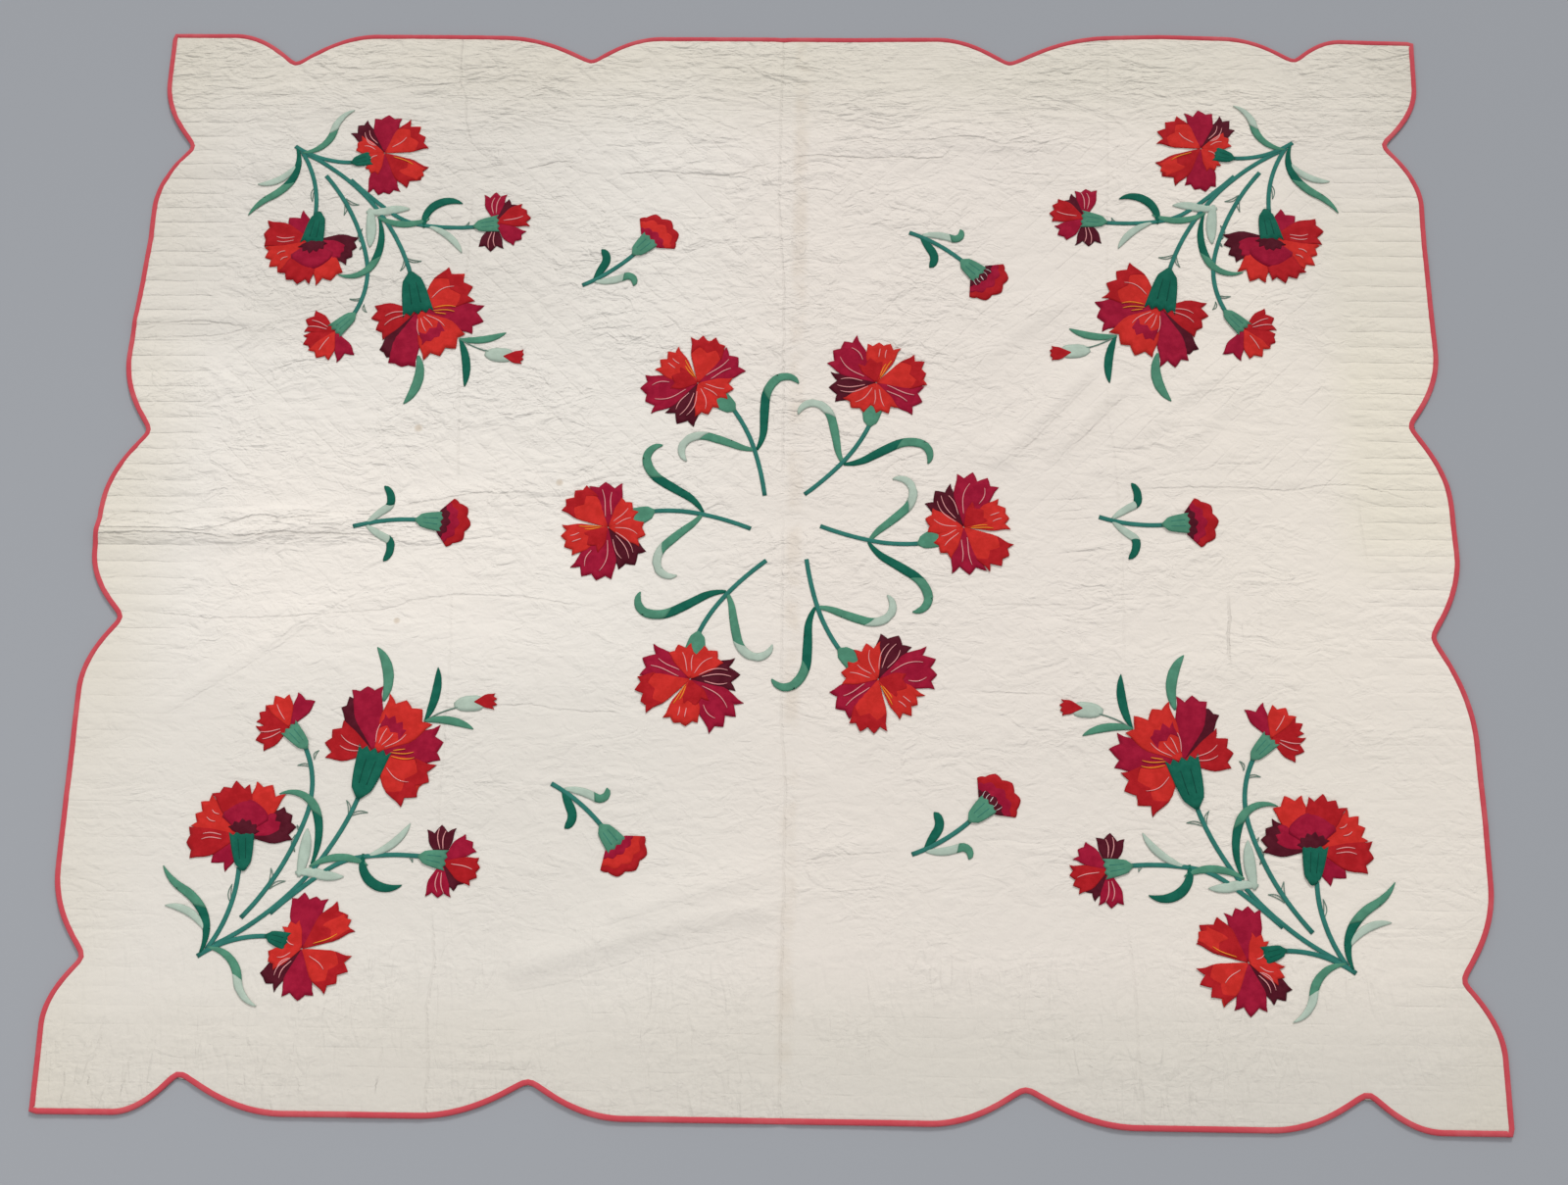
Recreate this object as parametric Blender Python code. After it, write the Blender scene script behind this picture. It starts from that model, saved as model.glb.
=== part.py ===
"""A scalloped applique quilt, laid flat, with carnation sprays and its storage folds.

Metres, +Z up. The origin is under the middle of the quilt, on the surface that it lies on.
X runs along the long side and +Y points to the far side.
"""
import math
import bmesh
import bpy
from mathutils import Vector
from mathutils.bvhtree import BVHTree

# Driving sizes
CORNER_X = 1.160            # half the long side, at the corners
CORNER_Y = 0.984            # half the short side
CLOTH_THICK = 0.005         # top cloth, padding and back, quilted through
BINDING_WIDE = 0.0095
BINDING_PROUD = 0.0006      # how far the binding stands above the quilt beside it
PATCH_THICK = 0.001         # applique cloth with its turned edges
PIECE_GAP = 0.0003
PATCH_GAP = 0.0006          # the patches bridge the quilt's gentle swells
CORNER_ROUND = 0.012
CELL = 0.105                # spacing of the lines that the sheet bends along
FOLD_STEP = 0.024           # the lines on either side of a main crease
STEM_STEP = 0.062           # spacing of the points along stems and leaves
LEAF_STEP = 0.030
LEAF_ROOT, LEAF_TIP = 0.10, 0.98    # the stretch of a half wave that shapes a leaf from root to tip
LEAF_FULLNESS = 0.8
LEAF_LEAST = 0.16           # of its greatest width
TRIM = 0.0008               # stems and leaves end this far short of the petals over them
WALL = 0.05                 # reach of the tall outlines before they are laid on the quilt
CUTTER_TALLER = 1.5
SHARED_PLANE = 2e-5         # a cutting plane this close to a point passes through it
BARELY_BENT = 0.002         # radians between faces that count as one
STEM_WIDE = 0.0075
CORNER_PULL = 0.7           # how far a corner's rounding point is drawn out to the sharp corner
FLAT_BELOW = 0.0002         # a sheet that stands off by less than this lies flat
BINDING_SHOULDER = 0.2      # share of the binding's width that slopes down at its outer edge
REACH_X = 1.24              # the bending lines cover the sheet as far as this
REACH_Y = 1.06

# Each side of the quilt: where its crest line runs (place along the side, distance from the middle)
CREST = {
    "bottom": ((-1.13, 0.986), (-0.64, 0.983), (0.20, 0.981), (0.60, 0.982), (1.14, 0.981)),
    "right": ((-0.97, 1.148), (-0.50, 1.155), (0.02, 1.152), (0.55, 1.150), (0.97, 1.163)),
    "top": ((-1.15, 0.986), (-0.70, 0.985), (-0.20, 0.980), (0.28, 0.980), (0.70, 0.986), (1.16, 0.972)),
    "left": ((-0.98, 1.134), (-0.60, 1.147), (-0.03, 1.163), (0.55, 1.143), (0.97, 1.150)),
}
# The notches between the scallops: place, depth, reach before and reach after
NOTCHES = {
    "bottom": ((-0.906, 0.058, 0.10, 0.17), (-0.359, 0.053, 0.17, 0.15),
               (0.409, 0.053, 0.15, 0.17), (0.931, 0.054, 0.15, 0.11)),
    "right": ((-0.747, 0.053, 0.12, 0.15), (-0.185, 0.052, 0.18, 0.15),
              (0.196, 0.054, 0.15, 0.14), (0.751, 0.060, 0.13, 0.12)),
    "top": ((-0.911, 0.060, 0.12, 0.15), (-0.356, 0.050, 0.17, 0.13),
            (0.419, 0.054, 0.14, 0.19), (0.941, 0.044, 0.13, 0.09)),
    "left": ((-0.742, 0.053, 0.11, 0.14), (-0.172, 0.056, 0.13, 0.12),
             (0.171, 0.058, 0.14, 0.15), (0.741, 0.058, 0.13, 0.14)),
}
NOTCH_SOFTNESS = 0.05
NOTCH_STOPS = (0.0, 0.06, 0.20, 0.40, 0.66, 1.0)
CREST_STOP = 0.10
LEAST_STOP = 0.003

# The storage folds: the line each follows, its rise, half its width and how far it lifts the whole sheet
FOLDS = {
    "centre": dict(line=((0.000, 0.99), (0.022, -0.10), (0.033, -0.99)), rise=-0.0016, half=0.016, lift=0),
    "left": dict(line=((-0.600, 0.99), (-0.523, -0.2), (-0.506, -0.99)), rise=-0.0012, half=0.016, lift=0),
    "right": dict(line=((0.597, 0.99), (0.584, -0.99)), rise=-0.0012, half=0.016, lift=0),
    "ridge": dict(line=((-1.17, -0.018), (-0.92, -0.020), (-0.69, 0.004)), rise=0, half=0.017, lift=0.007),
    "across": dict(line=((-0.69, 0.006), (0.39, 0.038), (1.07, 0.094)), rise=-0.0010, half=0.016, lift=0),
    "upper": dict(line=((-0.66, 0.706), (-0.40, 0.695), (-0.15, 0.678), (-0.02, 0.717), (0.22, 0.739),
                        (0.33, 0.758), (0.40, 0.739), (0.62, 0.708)), rise=0.0022, half=0.020, lift=0),
    "lower": dict(line=((-0.46, -0.310), (-0.21, -0.316), (0.28, -0.287), (0.50, -0.283)),
                  rise=-0.0010, half=0.016, lift=0),
    "slant": dict(line=((-0.43, -0.769), (-0.26, -0.744), (0.02, -0.590), (0.19, -0.565)),
                  rise=0.0020, half=0.022, lift=0),
    "far_right": dict(line=((0.29, 0.20), (0.36, 0.30), (0.40, 0.41)), rise=0.0018, half=0.024, lift=0),
    "near_left": dict(line=((-0.87, -0.275), (-0.75, -0.187), (-0.57, -0.116)),
                      rise=0.0020, half=0.024, lift=0),
    "far_left": dict(line=((-1.10, 0.369), (-0.88, 0.382)), rise=0.0024, half=0.022, lift=0),
}
FOLD_FADE = 0.06            # how far a fold takes to die out at its ends
# Gentle unevenness of the sheet: height, waves per metre along X and Y, and shift
SWELLS = ((0.00035, 1.30, 0.45, 0.4), (0.00030, -0.70, 1.55, 2.1), (0.00025, 2.10, -1.20, 4.0))

# Where the sheet's bending lines cross the far, near, left and right sides at the main creases
CREASES_ACROSS_X = ((-0.600, -0.506), (0.001, 0.033), (0.597, 0.584))       # at +Y, at -Y
CREASES_ACROSS_Y = ((-0.318, -0.278), (-0.019, 0.096), (0.698, 0.722))      # at -X, at +X
SIDE_CREASES = {
    "top": [far for far, near in CREASES_ACROSS_X],
    "bottom": [near for far, near in CREASES_ACROSS_X],
    "left": [left for left, right in CREASES_ACROSS_Y],
    "right": [right for left, right in CREASES_ACROSS_Y],
}

# Petals, seen from the flower's heart: middle direction, half spread (degrees), length, teeth
PETALS = {
    "wreath": ((72, 21, 0.093, 3), (20, 21, 0.076, 2), (-43, 19, 0.092, 2), (-86, 17, 0.089, 2),
               (129, 19, 0.080, 2), (-158, 43, 0.062, 4)),
    "open": ((-111, 14, 0.076, 2), (-69, 18, 0.078, 2), (-13, 26, 0.076, 3), (60, 18, 0.088, 2),
             (106, 17, 0.086, 2), (146, 12, 0.056, 2), (-162, 28, 0.048, 2)),
    "bell": ((98, 14, 0.067, 2), (70, 10, 0.100, 2), (43, 12, 0.099, 2), (12, 13, 0.094, 2),
             (-31, 18, 0.089, 3), (-64, 9, 0.077, 2), (-92, 12, 0.066, 2)),
    "fan": ((-92, 20, 0.063, 2), (-54, 10, 0.054, 2), (-12, 22, 0.062, 3), (45, 17, 0.062, 2),
            (97, 22, 0.066, 2)),
    "great": ((-112, 21, 0.105, 3), (-64, 14, 0.112, 2), (-15, 25, 0.096, 3), (35, 14, 0.115, 2),
              (88, 26, 0.084, 3)),
    "small": ((60, 25, 0.062, 3), (19, 8, 0.061, 1), (-16, 20, 0.063, 2), (-70, 15, 0.064, 2)),
    "side": ((54, 17, 0.050, 1), (18, 15, 0.045, 1), (-17, 15, 0.043, 1), (-51, 16, 0.043, 1)),
}
# Where a head seen from the side meets its calyx: degrees past the outer petals, distance from the heart
HEAD_BASES = {"bell": (12, 0.012), "fan": (12, 0.012), "great": (12, 0.012), "small": (12, 0.012),
              "side": (22, 0.019)}
WIDE_GAP = 60               # degrees between petals that leave room for a calyx
WAVE = (0.93, 1.04, 0.93)   # the edge of a petal without teeth
TOOTH_DEPTH = 0.15          # of the petal's length
SLIT_DEPTH = 0.62           # how far out, of the petal's length, two petals part

# Stems and leaves are runs of arcs: start, heading (degrees), then (length, turn) for each arc, and a width
WREATH_MIDDLE = (0.022, 0.000)
WREATH_HEART = (0.311, 0.003)
WREATH_STEM = dict(start=(0.068, 0.003), heading=-22, arcs=((0.088, 10), (0.086, 18)), wide=STEM_WIDE)
WREATH_CUP = dict(start=(0.232, -0.029), heading=21, long=0.046, wide=0.038)
WREATH_LEAVES = (
    dict(start=(0.150, -0.026), heading=-60, wide=0.016,
         arcs=((0.045, 30), (0.050, -3), (0.042, -38), (0.050, -112))),
    dict(start=(0.150, -0.026), heading=60, wide=0.015,
         arcs=((0.034, -22), (0.054, 6), (0.034, 46), (0.050, 112))),
)
# Each flower's turn, and how far it is moved outwards
WREATH_FLOWERS = ((0, -0.009), (60, 0.0), (120, 0.0), (180, -0.009), (240, 0.0), (300, 0.0))

# A corner spray as it lies in the +X +Y corner; the other three mirror it
SPRAY_HEADS = {
    "open": dict(heart=(0.727, 0.728), facing=160),
    "bell": dict(heart=(0.842, 0.547), facing=292),
    "fan": dict(heart=(0.514, 0.585), facing=178),
    "great": dict(heart=(0.640, 0.407), facing=254),
    "small": dict(heart=(0.783, 0.365), facing=317),
}
SPRAY_STEMS = (
    dict(start=(0.893, 0.742), heading=216, arcs=((0.116, -38),), wide=STEM_WIDE),
    dict(start=(0.880, 0.731), heading=236, arcs=((0.140, 36),), wide=STEM_WIDE),
    dict(start=(0.869, 0.724), heading=207, arcs=((0.318, 43),), wide=STEM_WIDE),
    dict(start=(0.784, 0.672), heading=224, arcs=((0.110, -8), (0.060, -28), (0.100, -14)), wide=STEM_WIDE),
    dict(start=(0.830, 0.680), heading=229, arcs=((0.190, 26), (0.126, 45)), wide=STEM_WIDE),
)
SPRAY_CUPS = (
    dict(start=(0.787, 0.707), heading=166, long=0.036, wide=0.026),
    dict(start=(0.834, 0.605), heading=278, long=0.062, wide=0.042),
    dict(start=(0.553, 0.577), heading=172, long=0.044, wide=0.034),
    dict(start=(0.659, 0.484), heading=256, long=0.082, wide=0.056),
    dict(start=(0.750, 0.401), heading=314, long=0.048, wide=0.032),
)
SPRAY_LEAVES = (
    dict(start=(0.878, 0.728), heading=178, arcs=((0.078, -80), (0.058, 62)), wide=0.014),
    dict(start=(0.889, 0.736), heading=246, arcs=((0.076, 60), (0.044, 24), (0.052, -32)), wide=0.015),
    dict(start=(0.886, 0.700), heading=300, arcs=((0.082, 62),), wide=0.013),
    dict(start=(0.744, 0.608), heading=196, arcs=((0.074, -30),), wide=0.014),
    dict(start=(0.742, 0.612), heading=262, arcs=((0.078, 12),), wide=0.015),
    dict(start=(0.725, 0.592), heading=250, arcs=((0.088, 40), (0.078, 92)), wide=0.014),
    dict(start=(0.642, 0.574), heading=78, arcs=((0.104, 130),), wide=0.016),
    dict(start=(0.634, 0.577), heading=196, arcs=((0.086, 48),), wide=0.013),
    dict(start=(0.728, 0.596), heading=214, arcs=((0.100, -64),), wide=0.013),
)
UNDER_LEAF = dict(start=(0.632, 0.318), heading=250, arcs=((0.092, 62),), wide=0.017)
BUD_LEAVES = (
    dict(start=(0.560, 0.350), heading=244, arcs=((0.094, 34),), wide=0.015),
    dict(start=(0.562, 0.351), heading=192, arcs=((0.086, -42),), wide=0.014),
)
BUD_STEM = dict(start=(0.560, 0.351), heading=216, arcs=((0.066, -26),), wide=0.003)
BUD_CUP = dict(start=(0.510, 0.323), heading=187, long=0.050, wide=0.028)
BUD_TIP = dict(start=(0.466, 0.318), heading=180, long=0.024, wide=0.019)

# A calyx's half width along its length, both as shares
CUP_ROWS = ((0.0, 0.30), (0.10, 0.62), (0.45, 0.80), (1.0, 1.0))

# Where the four sprays lie: shift of the mirrored spray, and its mirroring
SPRAYS = ((0.000, 0.000, -1, 1), (0.034, 0.014, 1, 1), (-0.006, 0.003, -1, -1), (0.034, 0.004, 1, -1))

# A single sprig along +X from its root
SPRIG_STEM = dict(start=(0.000, 0.000), heading=-14, arcs=((0.112, 22),), wide=STEM_WIDE)
SPRIG_CUP = dict(start=(0.106, -0.006), heading=8, long=0.046, wide=0.038)
SPRIG_LEAVES = {
    "corner": (
        dict(start=(0.024, -0.003), heading=5, arcs=((0.036, 10), (0.038, 100)), wide=0.014),
        dict(start=(0.022, -0.008), heading=-42, arcs=((0.055, 30), (0.032, -150)), wide=0.014),
    ),
    "side": (
        dict(start=(0.026, -0.002), heading=32, arcs=((0.058, 12), (0.030, 130)), wide=0.014),
        dict(start=(0.026, -0.004), heading=-32, arcs=((0.058, -12), (0.030, -130)), wide=0.014),
    ),
}
SPRIG_HEART = (0.150, 0.000)
SPRIG_FACING = 9
# Where the six sprigs lie: root, direction (degrees), mirrored or not, which leaves
SPRIGS = ((-0.349, 0.459, 38, 1, "corner"), (0.233, 0.568, -34, -1, "corner"),
          (-0.717, -0.006, 4, -1, "side"), (0.553, 0.024, -4, 1, "side"),
          (-0.351, -0.451, -42, -1, "corner"), (0.235, -0.560, 34, 1, "corner"))

# Colours, roughness
CREAM = ((0.75, 0.72, 0.62), 0.95)
CORAL = ((0.55, 0.08, 0.09), 0.9)
RED = ((0.55, 0.02, 0.03), 0.9)
GREEN = ((0.05, 0.22, 0.15), 0.9)


def smooth(t):
    t = min(max(t, 0.0), 1.0)
    return t * t * (3 - 2 * t)


def along(table, place):
    """The value at a place, on straight runs between a table's (place, value) rows."""
    for (a, va), (b, vb) in zip(table, table[1:]):
        if place <= b:
            break
    return va + (vb - va) * (place - a) / (b - a)


def nearest_on(line, x, y):
    """Distance to a line of points, and how far the nearest spot is from the line's ends."""
    best, best_run, run = 1e9, 0.0, 0.0
    for (ax, ay), (bx, by) in zip(line, line[1:]):
        long = math.hypot(bx - ax, by - ay)
        t = ((x - ax) * (bx - ax) + (y - ay) * (by - ay)) / long ** 2
        t = min(max(t, 0.0), 1.0)
        away = math.hypot(x - ax - t * (bx - ax), y - ay - t * (by - ay))
        if away < best:
            best, best_run = away, run + t * long
        run += long
    return best, min(best_run, run - best_run)


def fold_weight(fold, x, y):
    away, from_end = nearest_on(fold["line"], x, y)
    open_end = abs(x) > CORNER_X - FOLD_FADE or abs(y) > CORNER_Y - FOLD_FADE
    fade = 1.0 if open_end else smooth(from_end / FOLD_FADE)
    return fade * math.exp(-(away / fold["half"]) ** 2)


def lift(x, y):
    """How far the whole sheet stands off the surface, along its strong ridge."""
    high = sum(f["lift"] * fold_weight(f, x, y) for f in FOLDS.values() if f["lift"])
    return high if high > FLAT_BELOW else 0.0


def top_height(x, y):
    """The quilt's upper surface: its thickness, folds and gentle swells."""
    z = CLOTH_THICK + lift(x, y)
    z += sum(f["rise"] * fold_weight(f, x, y) for f in FOLDS.values() if f["rise"])
    for high, waves_x, waves_y, shift in SWELLS:
        z += high * math.sin(2 * math.pi * (waves_x * x + waves_y * y) + shift)
    return z


def side_out(side, place):
    """Distance of the scalloped edge from the middle line, at a place along one side."""
    out = along(CREST[side], place)
    for middle, depth, before, after in NOTCHES[side]:
        reach = before if place < middle else after
        t = abs(place - middle) / reach
        if t < 1:
            t = (math.hypot(t, NOTCH_SOFTNESS) - NOTCH_SOFTNESS)
            t /= math.hypot(1, NOTCH_SOFTNESS) - NOTCH_SOFTNESS
            out -= depth * (1 - t) ** 2
    return out


def side_stops(side, first, last):
    """Places along a side that its shape needs: close together at the notches, wide apart on the crests."""
    stops = {first, last}
    for middle, depth, before, after in NOTCHES[side]:
        stops.update(middle - t * before for t in NOTCH_STOPS)
        stops.update(middle + t * after for t in NOTCH_STOPS)
    for crease in SIDE_CREASES[side]:
        stops.update((crease - FOLD_STEP, crease, crease + FOLD_STEP))
    stops = sorted(s for s in stops if first <= s <= last)
    stops = [s for i, s in enumerate(stops) if i == 0 or s - stops[i - 1] > LEAST_STOP]
    filled = [stops[0]]
    for a, b in zip(stops, stops[1:]):
        count = math.ceil((b - a) / CREST_STOP)
        filled += [a + (b - a) * (i + 1) / count for i in range(count)]
    return filled


# How each side's (place, distance) turns into X and Y, running round the quilt
SIDE_TO_XY = {
    "bottom": lambda place, out: (place, -out),
    "right": lambda place, out: (out, place),
    "top": lambda place, out: (place, out),
    "left": lambda place, out: (-out, place),
}


def quilt_outline():
    """The outer edge, round the quilt from the near left corner, turning left."""
    corners = {}
    for across, end_x in (("bottom", -1), ("bottom", 1), ("top", -1), ("top", 1)):
        upright = "right" if end_x > 0 else "left"
        end_y = 1 if across == "top" else -1
        y = end_y * side_out(across, end_x * CORNER_X)
        corners[end_x, end_y] = (end_x * side_out(upright, y), y)
    runs = (("bottom", (-1, -1), (1, -1)), ("right", (1, -1), (1, 1)), ("top", (1, 1), (-1, 1)),
            ("left", (-1, 1), (-1, -1)))
    outline = []
    for side, start, end in runs:
        axis = 0 if side in ("bottom", "top") else 1
        a, b = corners[start][axis], corners[end][axis]
        step = CORNER_ROUND if b > a else -CORNER_ROUND
        stops = side_stops(side, min(a + step, b - step), max(a + step, b - step))
        if b < a:
            stops.reverse()
        outline += [SIDE_TO_XY[side](s, side_out(side, s)) for s in stops]
        corner, before = corners[end], outline[-1]
        outline.append(tuple(Vector(before).lerp(Vector(corner), CORNER_PULL)))
    return outline


def inset(outline, distance):
    """The outline moved inwards by a distance, corner by corner."""
    moved = []
    for i, (x, y) in enumerate(outline):
        ax, ay = outline[i - 1]
        bx, by = outline[(i + 1) % len(outline)]
        before = Vector((x - ax, y - ay)).normalized()
        after = Vector((bx - x, by - y)).normalized()
        inward = Vector((-(before + after).y, (before + after).x)).normalized()
        stretch = distance / max(inward.dot(Vector((-after.y, after.x))), 0.5)
        moved.append((x + inward.x * stretch, y + inward.y * stretch))
    return moved


def bending_lines():
    """The lines that the sheet bends along: pairs of end points, first across X and then across Y."""
    families = []
    for creases, reach in ((CREASES_ACROSS_X, REACH_X), (CREASES_ACROSS_Y, REACH_Y)):
        stops = [(-reach, -reach)]
        for near_end, far_end in creases:
            stops += [(near_end + d, far_end + d) for d in (-FOLD_STEP, 0.0, FOLD_STEP)]
        stops.append((reach, reach))
        filled = []
        for (a0, a1), (b0, b1) in zip(stops, stops[1:]):
            count = max(1, round(((b0 + b1) - (a0 + a1)) / 2 / CELL))
            filled += [(a0 + (b0 - a0) * i / count, a1 + (b1 - a1) * i / count) for i in range(count)]
        families.append(filled[1:])
    across_x, across_y = families
    lines = [((far, CORNER_Y), (near, -CORNER_Y)) for far, near in across_x]
    lines += [((-CORNER_X, left), (CORNER_X, right)) for left, right in across_y]
    return lines


def crease_lines():
    """Only the bending lines at the main creases, which the patches bend along too."""
    lines = []
    for d in (-FOLD_STEP, 0.0, FOLD_STEP):
        lines += [((far + d, CORNER_Y), (near + d, -CORNER_Y)) for far, near in CREASES_ACROSS_X]
        lines += [((-CORNER_X, left + d), (CORNER_X, right + d)) for left, right in CREASES_ACROSS_Y]
    return lines


def cut_along(bm, lines):
    """Cuts a mesh with upright planes through the bending lines that cross it, and with nothing else."""
    bmesh.ops.triangulate(bm, faces=[f for f in bm.faces if len(f.verts) > 3])
    xs = [v.co.x for v in bm.verts]
    ys = [v.co.y for v in bm.verts]
    low, high = Vector((min(xs), min(ys))), Vector((max(xs), max(ys)))
    box = [Vector((x, y)) for x in (low.x, high.x) for y in (low.y, high.y)]
    for start, end in lines:
        run = Vector(end) - Vector(start)
        normal = Vector((-run.y, run.x)).normalized()
        sides = [(corner - Vector(start)).dot(normal) for corner in box]
        if min(sides) * max(sides) < 0:
            everything = bm.verts[:] + bm.edges[:] + bm.faces[:]
            cut = bmesh.ops.bisect_plane(bm, geom=everything, dist=SHARED_PLANE, plane_co=(*start, 0),
                                         plane_no=(*normal, 0))["geom_cut"]
            for piece in cut:
                if isinstance(piece, bmesh.types.BMEdge):
                    piece.seam = True
    bmesh.ops.dissolve_limit(bm, angle_limit=BARELY_BENT, verts=bm.verts[:], edges=bm.edges[:],
                             delimit={"SEAM"})


def tall_outline(outline):
    """A straight-sided solid of an outline, reaching equally far above and below zero."""
    bm = bmesh.new()
    face = bm.faces.new([bm.verts.new((x, y, -WALL)) for x, y in outline])
    top = bmesh.ops.extrude_face_region(bm, geom=[face])["geom"]
    for v in top:
        if isinstance(v, bmesh.types.BMVert):
            v.co.z = WALL
    bmesh.ops.recalc_face_normals(bm, faces=bm.faces[:])
    return bm


def add_object(name, bm, look):
    colour, roughness = look
    mesh = bpy.data.meshes.new(name)
    bm.to_mesh(mesh)
    bm.free()
    made = bpy.data.objects.new(name, mesh)
    bpy.context.scene.collection.objects.link(made)
    material = bpy.data.materials.new(name)
    material.use_nodes = True
    shader = material.node_tree.nodes["Principled BSDF"]
    shader.inputs["Base Color"].default_value = (*colour, 1)
    shader.inputs["Roughness"].default_value = roughness
    shader.inputs["Metallic"].default_value = 0.0
    mesh.materials.append(material)
    return made


def split_along_lower_diagonal(bm, face):
    """A four-sided cell becomes two triangles that meet in a valley, so no patch over it cuts in."""
    a, b, c, d = face.verts
    if a.co.z + c.co.z <= b.co.z + d.co.z:
        bmesh.utils.face_split(face, a, c)
    else:
        bmesh.utils.face_split(face, b, d)


def quilt_body(outline, lines):
    """The quilted sheet, with its flat underside lifted only along the strong ridge."""
    bm = tall_outline(outline)
    cut_along(bm, lines)
    for v in bm.verts:
        x, y = v.co.x, v.co.y
        v.co.z = top_height(x, y) if v.co.z > 0 else lift(x, y)
    bm.faces.ensure_lookup_table()
    bm.normal_update()
    for face in [f for f in bm.faces if f.normal.z > 0.5]:
        if len(face.verts) == 4:
            split_along_lower_diagonal(bm, face)
    bm.normal_update()
    flat = [f for f in bm.faces if f.normal.z < -0.5 and all(v.co.z == 0 for v in f.verts)]
    edges = [e for e in bm.edges if len(e.link_faces) == 2 and all(f in flat for f in e.link_faces)]
    bmesh.ops.dissolve_edges(bm, edges=edges, use_verts=True)
    bmesh.ops.triangulate(bm, faces=[f for f in bm.faces if len(f.verts) > 3])
    surface = BVHTree.FromBMesh(bm)
    return add_object("quilt_body", bm, CREAM), surface


def binding(outer, inner):
    """The narrow strip round the edge, one closed ring."""
    bm = bmesh.new()
    rings = []
    for (ox, oy), (ix, iy) in zip(outer, inner):
        low = lift(ix, iy)
        high = top_height(ix, iy) + BINDING_PROUD
        shoulder = Vector((ox, oy)).lerp(Vector((ix, iy)), BINDING_SHOULDER)
        ring = [(ox, oy, low), (ix, iy, low), (ix, iy, high), (*shoulder, high)]
        rings.append([bm.verts.new(p) for p in ring])
    for a, b in zip(rings, rings[1:] + rings[:1]):
        for i in range(len(a)):
            j = (i + 1) % len(a)
            bm.faces.new((a[i], b[i], b[j], a[j]))
    bmesh.ops.recalc_face_normals(bm, faces=bm.faces[:])
    return add_object("binding", bm, CORAL)


def arc_points(run, step):
    """Points along a run of arcs, and each point's heading in radians."""
    x, y = run["start"]
    heading = math.radians(run["heading"])
    points = [(x, y, heading)]
    for long, turn in run["arcs"]:
        count = max(1, math.ceil(long / step))
        bend = math.radians(turn) / count
        for _ in range(count):
            heading += bend / 2
            x += math.cos(heading) * long / count
            y += math.sin(heading) * long / count
            heading += bend / 2
            points.append((x, y, heading))
    return points


def band(points, half_widths):
    """A closed outline on both sides of a line of points."""
    left = [(x - math.sin(h) * w, y + math.cos(h) * w) for (x, y, h), w in zip(points, half_widths)]
    right = [(x + math.sin(h) * w, y - math.cos(h) * w) for (x, y, h), w in zip(points, half_widths)]
    return right + left[::-1]


def stem_outline(run):
    points = arc_points(run, STEM_STEP)
    return band(points, [run["wide"] / 2] * len(points))


def leaf_outline(run):
    """A leaf, widest in its middle and narrow at both ends."""
    points = arc_points(run, LEAF_STEP)
    last = len(points) - 1
    halves = []
    for i in range(last + 1):
        swell = math.sin(math.pi * (LEAF_ROOT + (LEAF_TIP - LEAF_ROOT) * i / last)) ** LEAF_FULLNESS
        halves.append(run["wide"] / 2 * max(swell, LEAF_LEAST))
    return band(points, halves)


def cup_outline(cup):
    """A calyx: rounded at the stem, widening to its rim."""
    x, y = cup["start"]
    heading = math.radians(cup["heading"])
    points = [(x + math.cos(heading) * cup["long"] * t, y + math.sin(heading) * cup["long"] * t, heading)
              for t, w in CUP_ROWS]
    return band(points, [cup["wide"] / 2 * w for t, w in CUP_ROWS])


def petal_rim(middle, half, long, teeth):
    """The points of one petal's toothed or wavy edge: direction, and distance from the heart."""
    if teeth == 1:
        shares = WAVE
    else:
        shares = [1.0 - TOOTH_DEPTH * (k % 2) for k in range(2 * teeth + 1)]
    last = len(shares) - 1
    return [(middle - half + 2 * half * k / last, long * share) for k, share in enumerate(shares)]


def head_outline(kind, heart, facing, grow=0.0):
    """A flower head: one toothed rim round its heart, petal by petal, slit between them."""
    rows = sorted((middle % 360, half, long, teeth) for middle, half, long, teeth in PETALS[kind])
    points = []
    for i, (middle, half, long, teeth) in enumerate(rows):
        points += petal_rim(middle, half, long, teeth)
        next_middle, next_half, next_long, _ = rows[(i + 1) % len(rows)]
        open_from = middle + half
        open_to = next_middle - next_half + (360 if i == len(rows) - 1 else 0)
        if open_to - open_from > WIDE_GAP:
            past, reach = HEAD_BASES[kind]
            points += [(open_from + past, reach), (open_to - past, reach)]
        else:
            points.append(((open_from + open_to) / 2, min(long, next_long) * SLIT_DEPTH))
    outline = []
    for turn, reach in points:
        angle = math.radians(turn + facing)
        out = reach + grow
        outline.append((heart[0] + math.cos(angle) * out, heart[1] + math.sin(angle) * out))
    return outline


def placed(outline, x, y, degrees, flip_x=1, flip_y=1):
    """An outline turned, mirrored and moved to its place on the quilt."""
    c, s = math.cos(math.radians(degrees)), math.sin(math.radians(degrees))
    moved = []
    for px, py in outline:
        px, py = px * flip_x, py * flip_y
        moved.append((x + c * px - s * py, y + s * px + c * py))
    return moved


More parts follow.
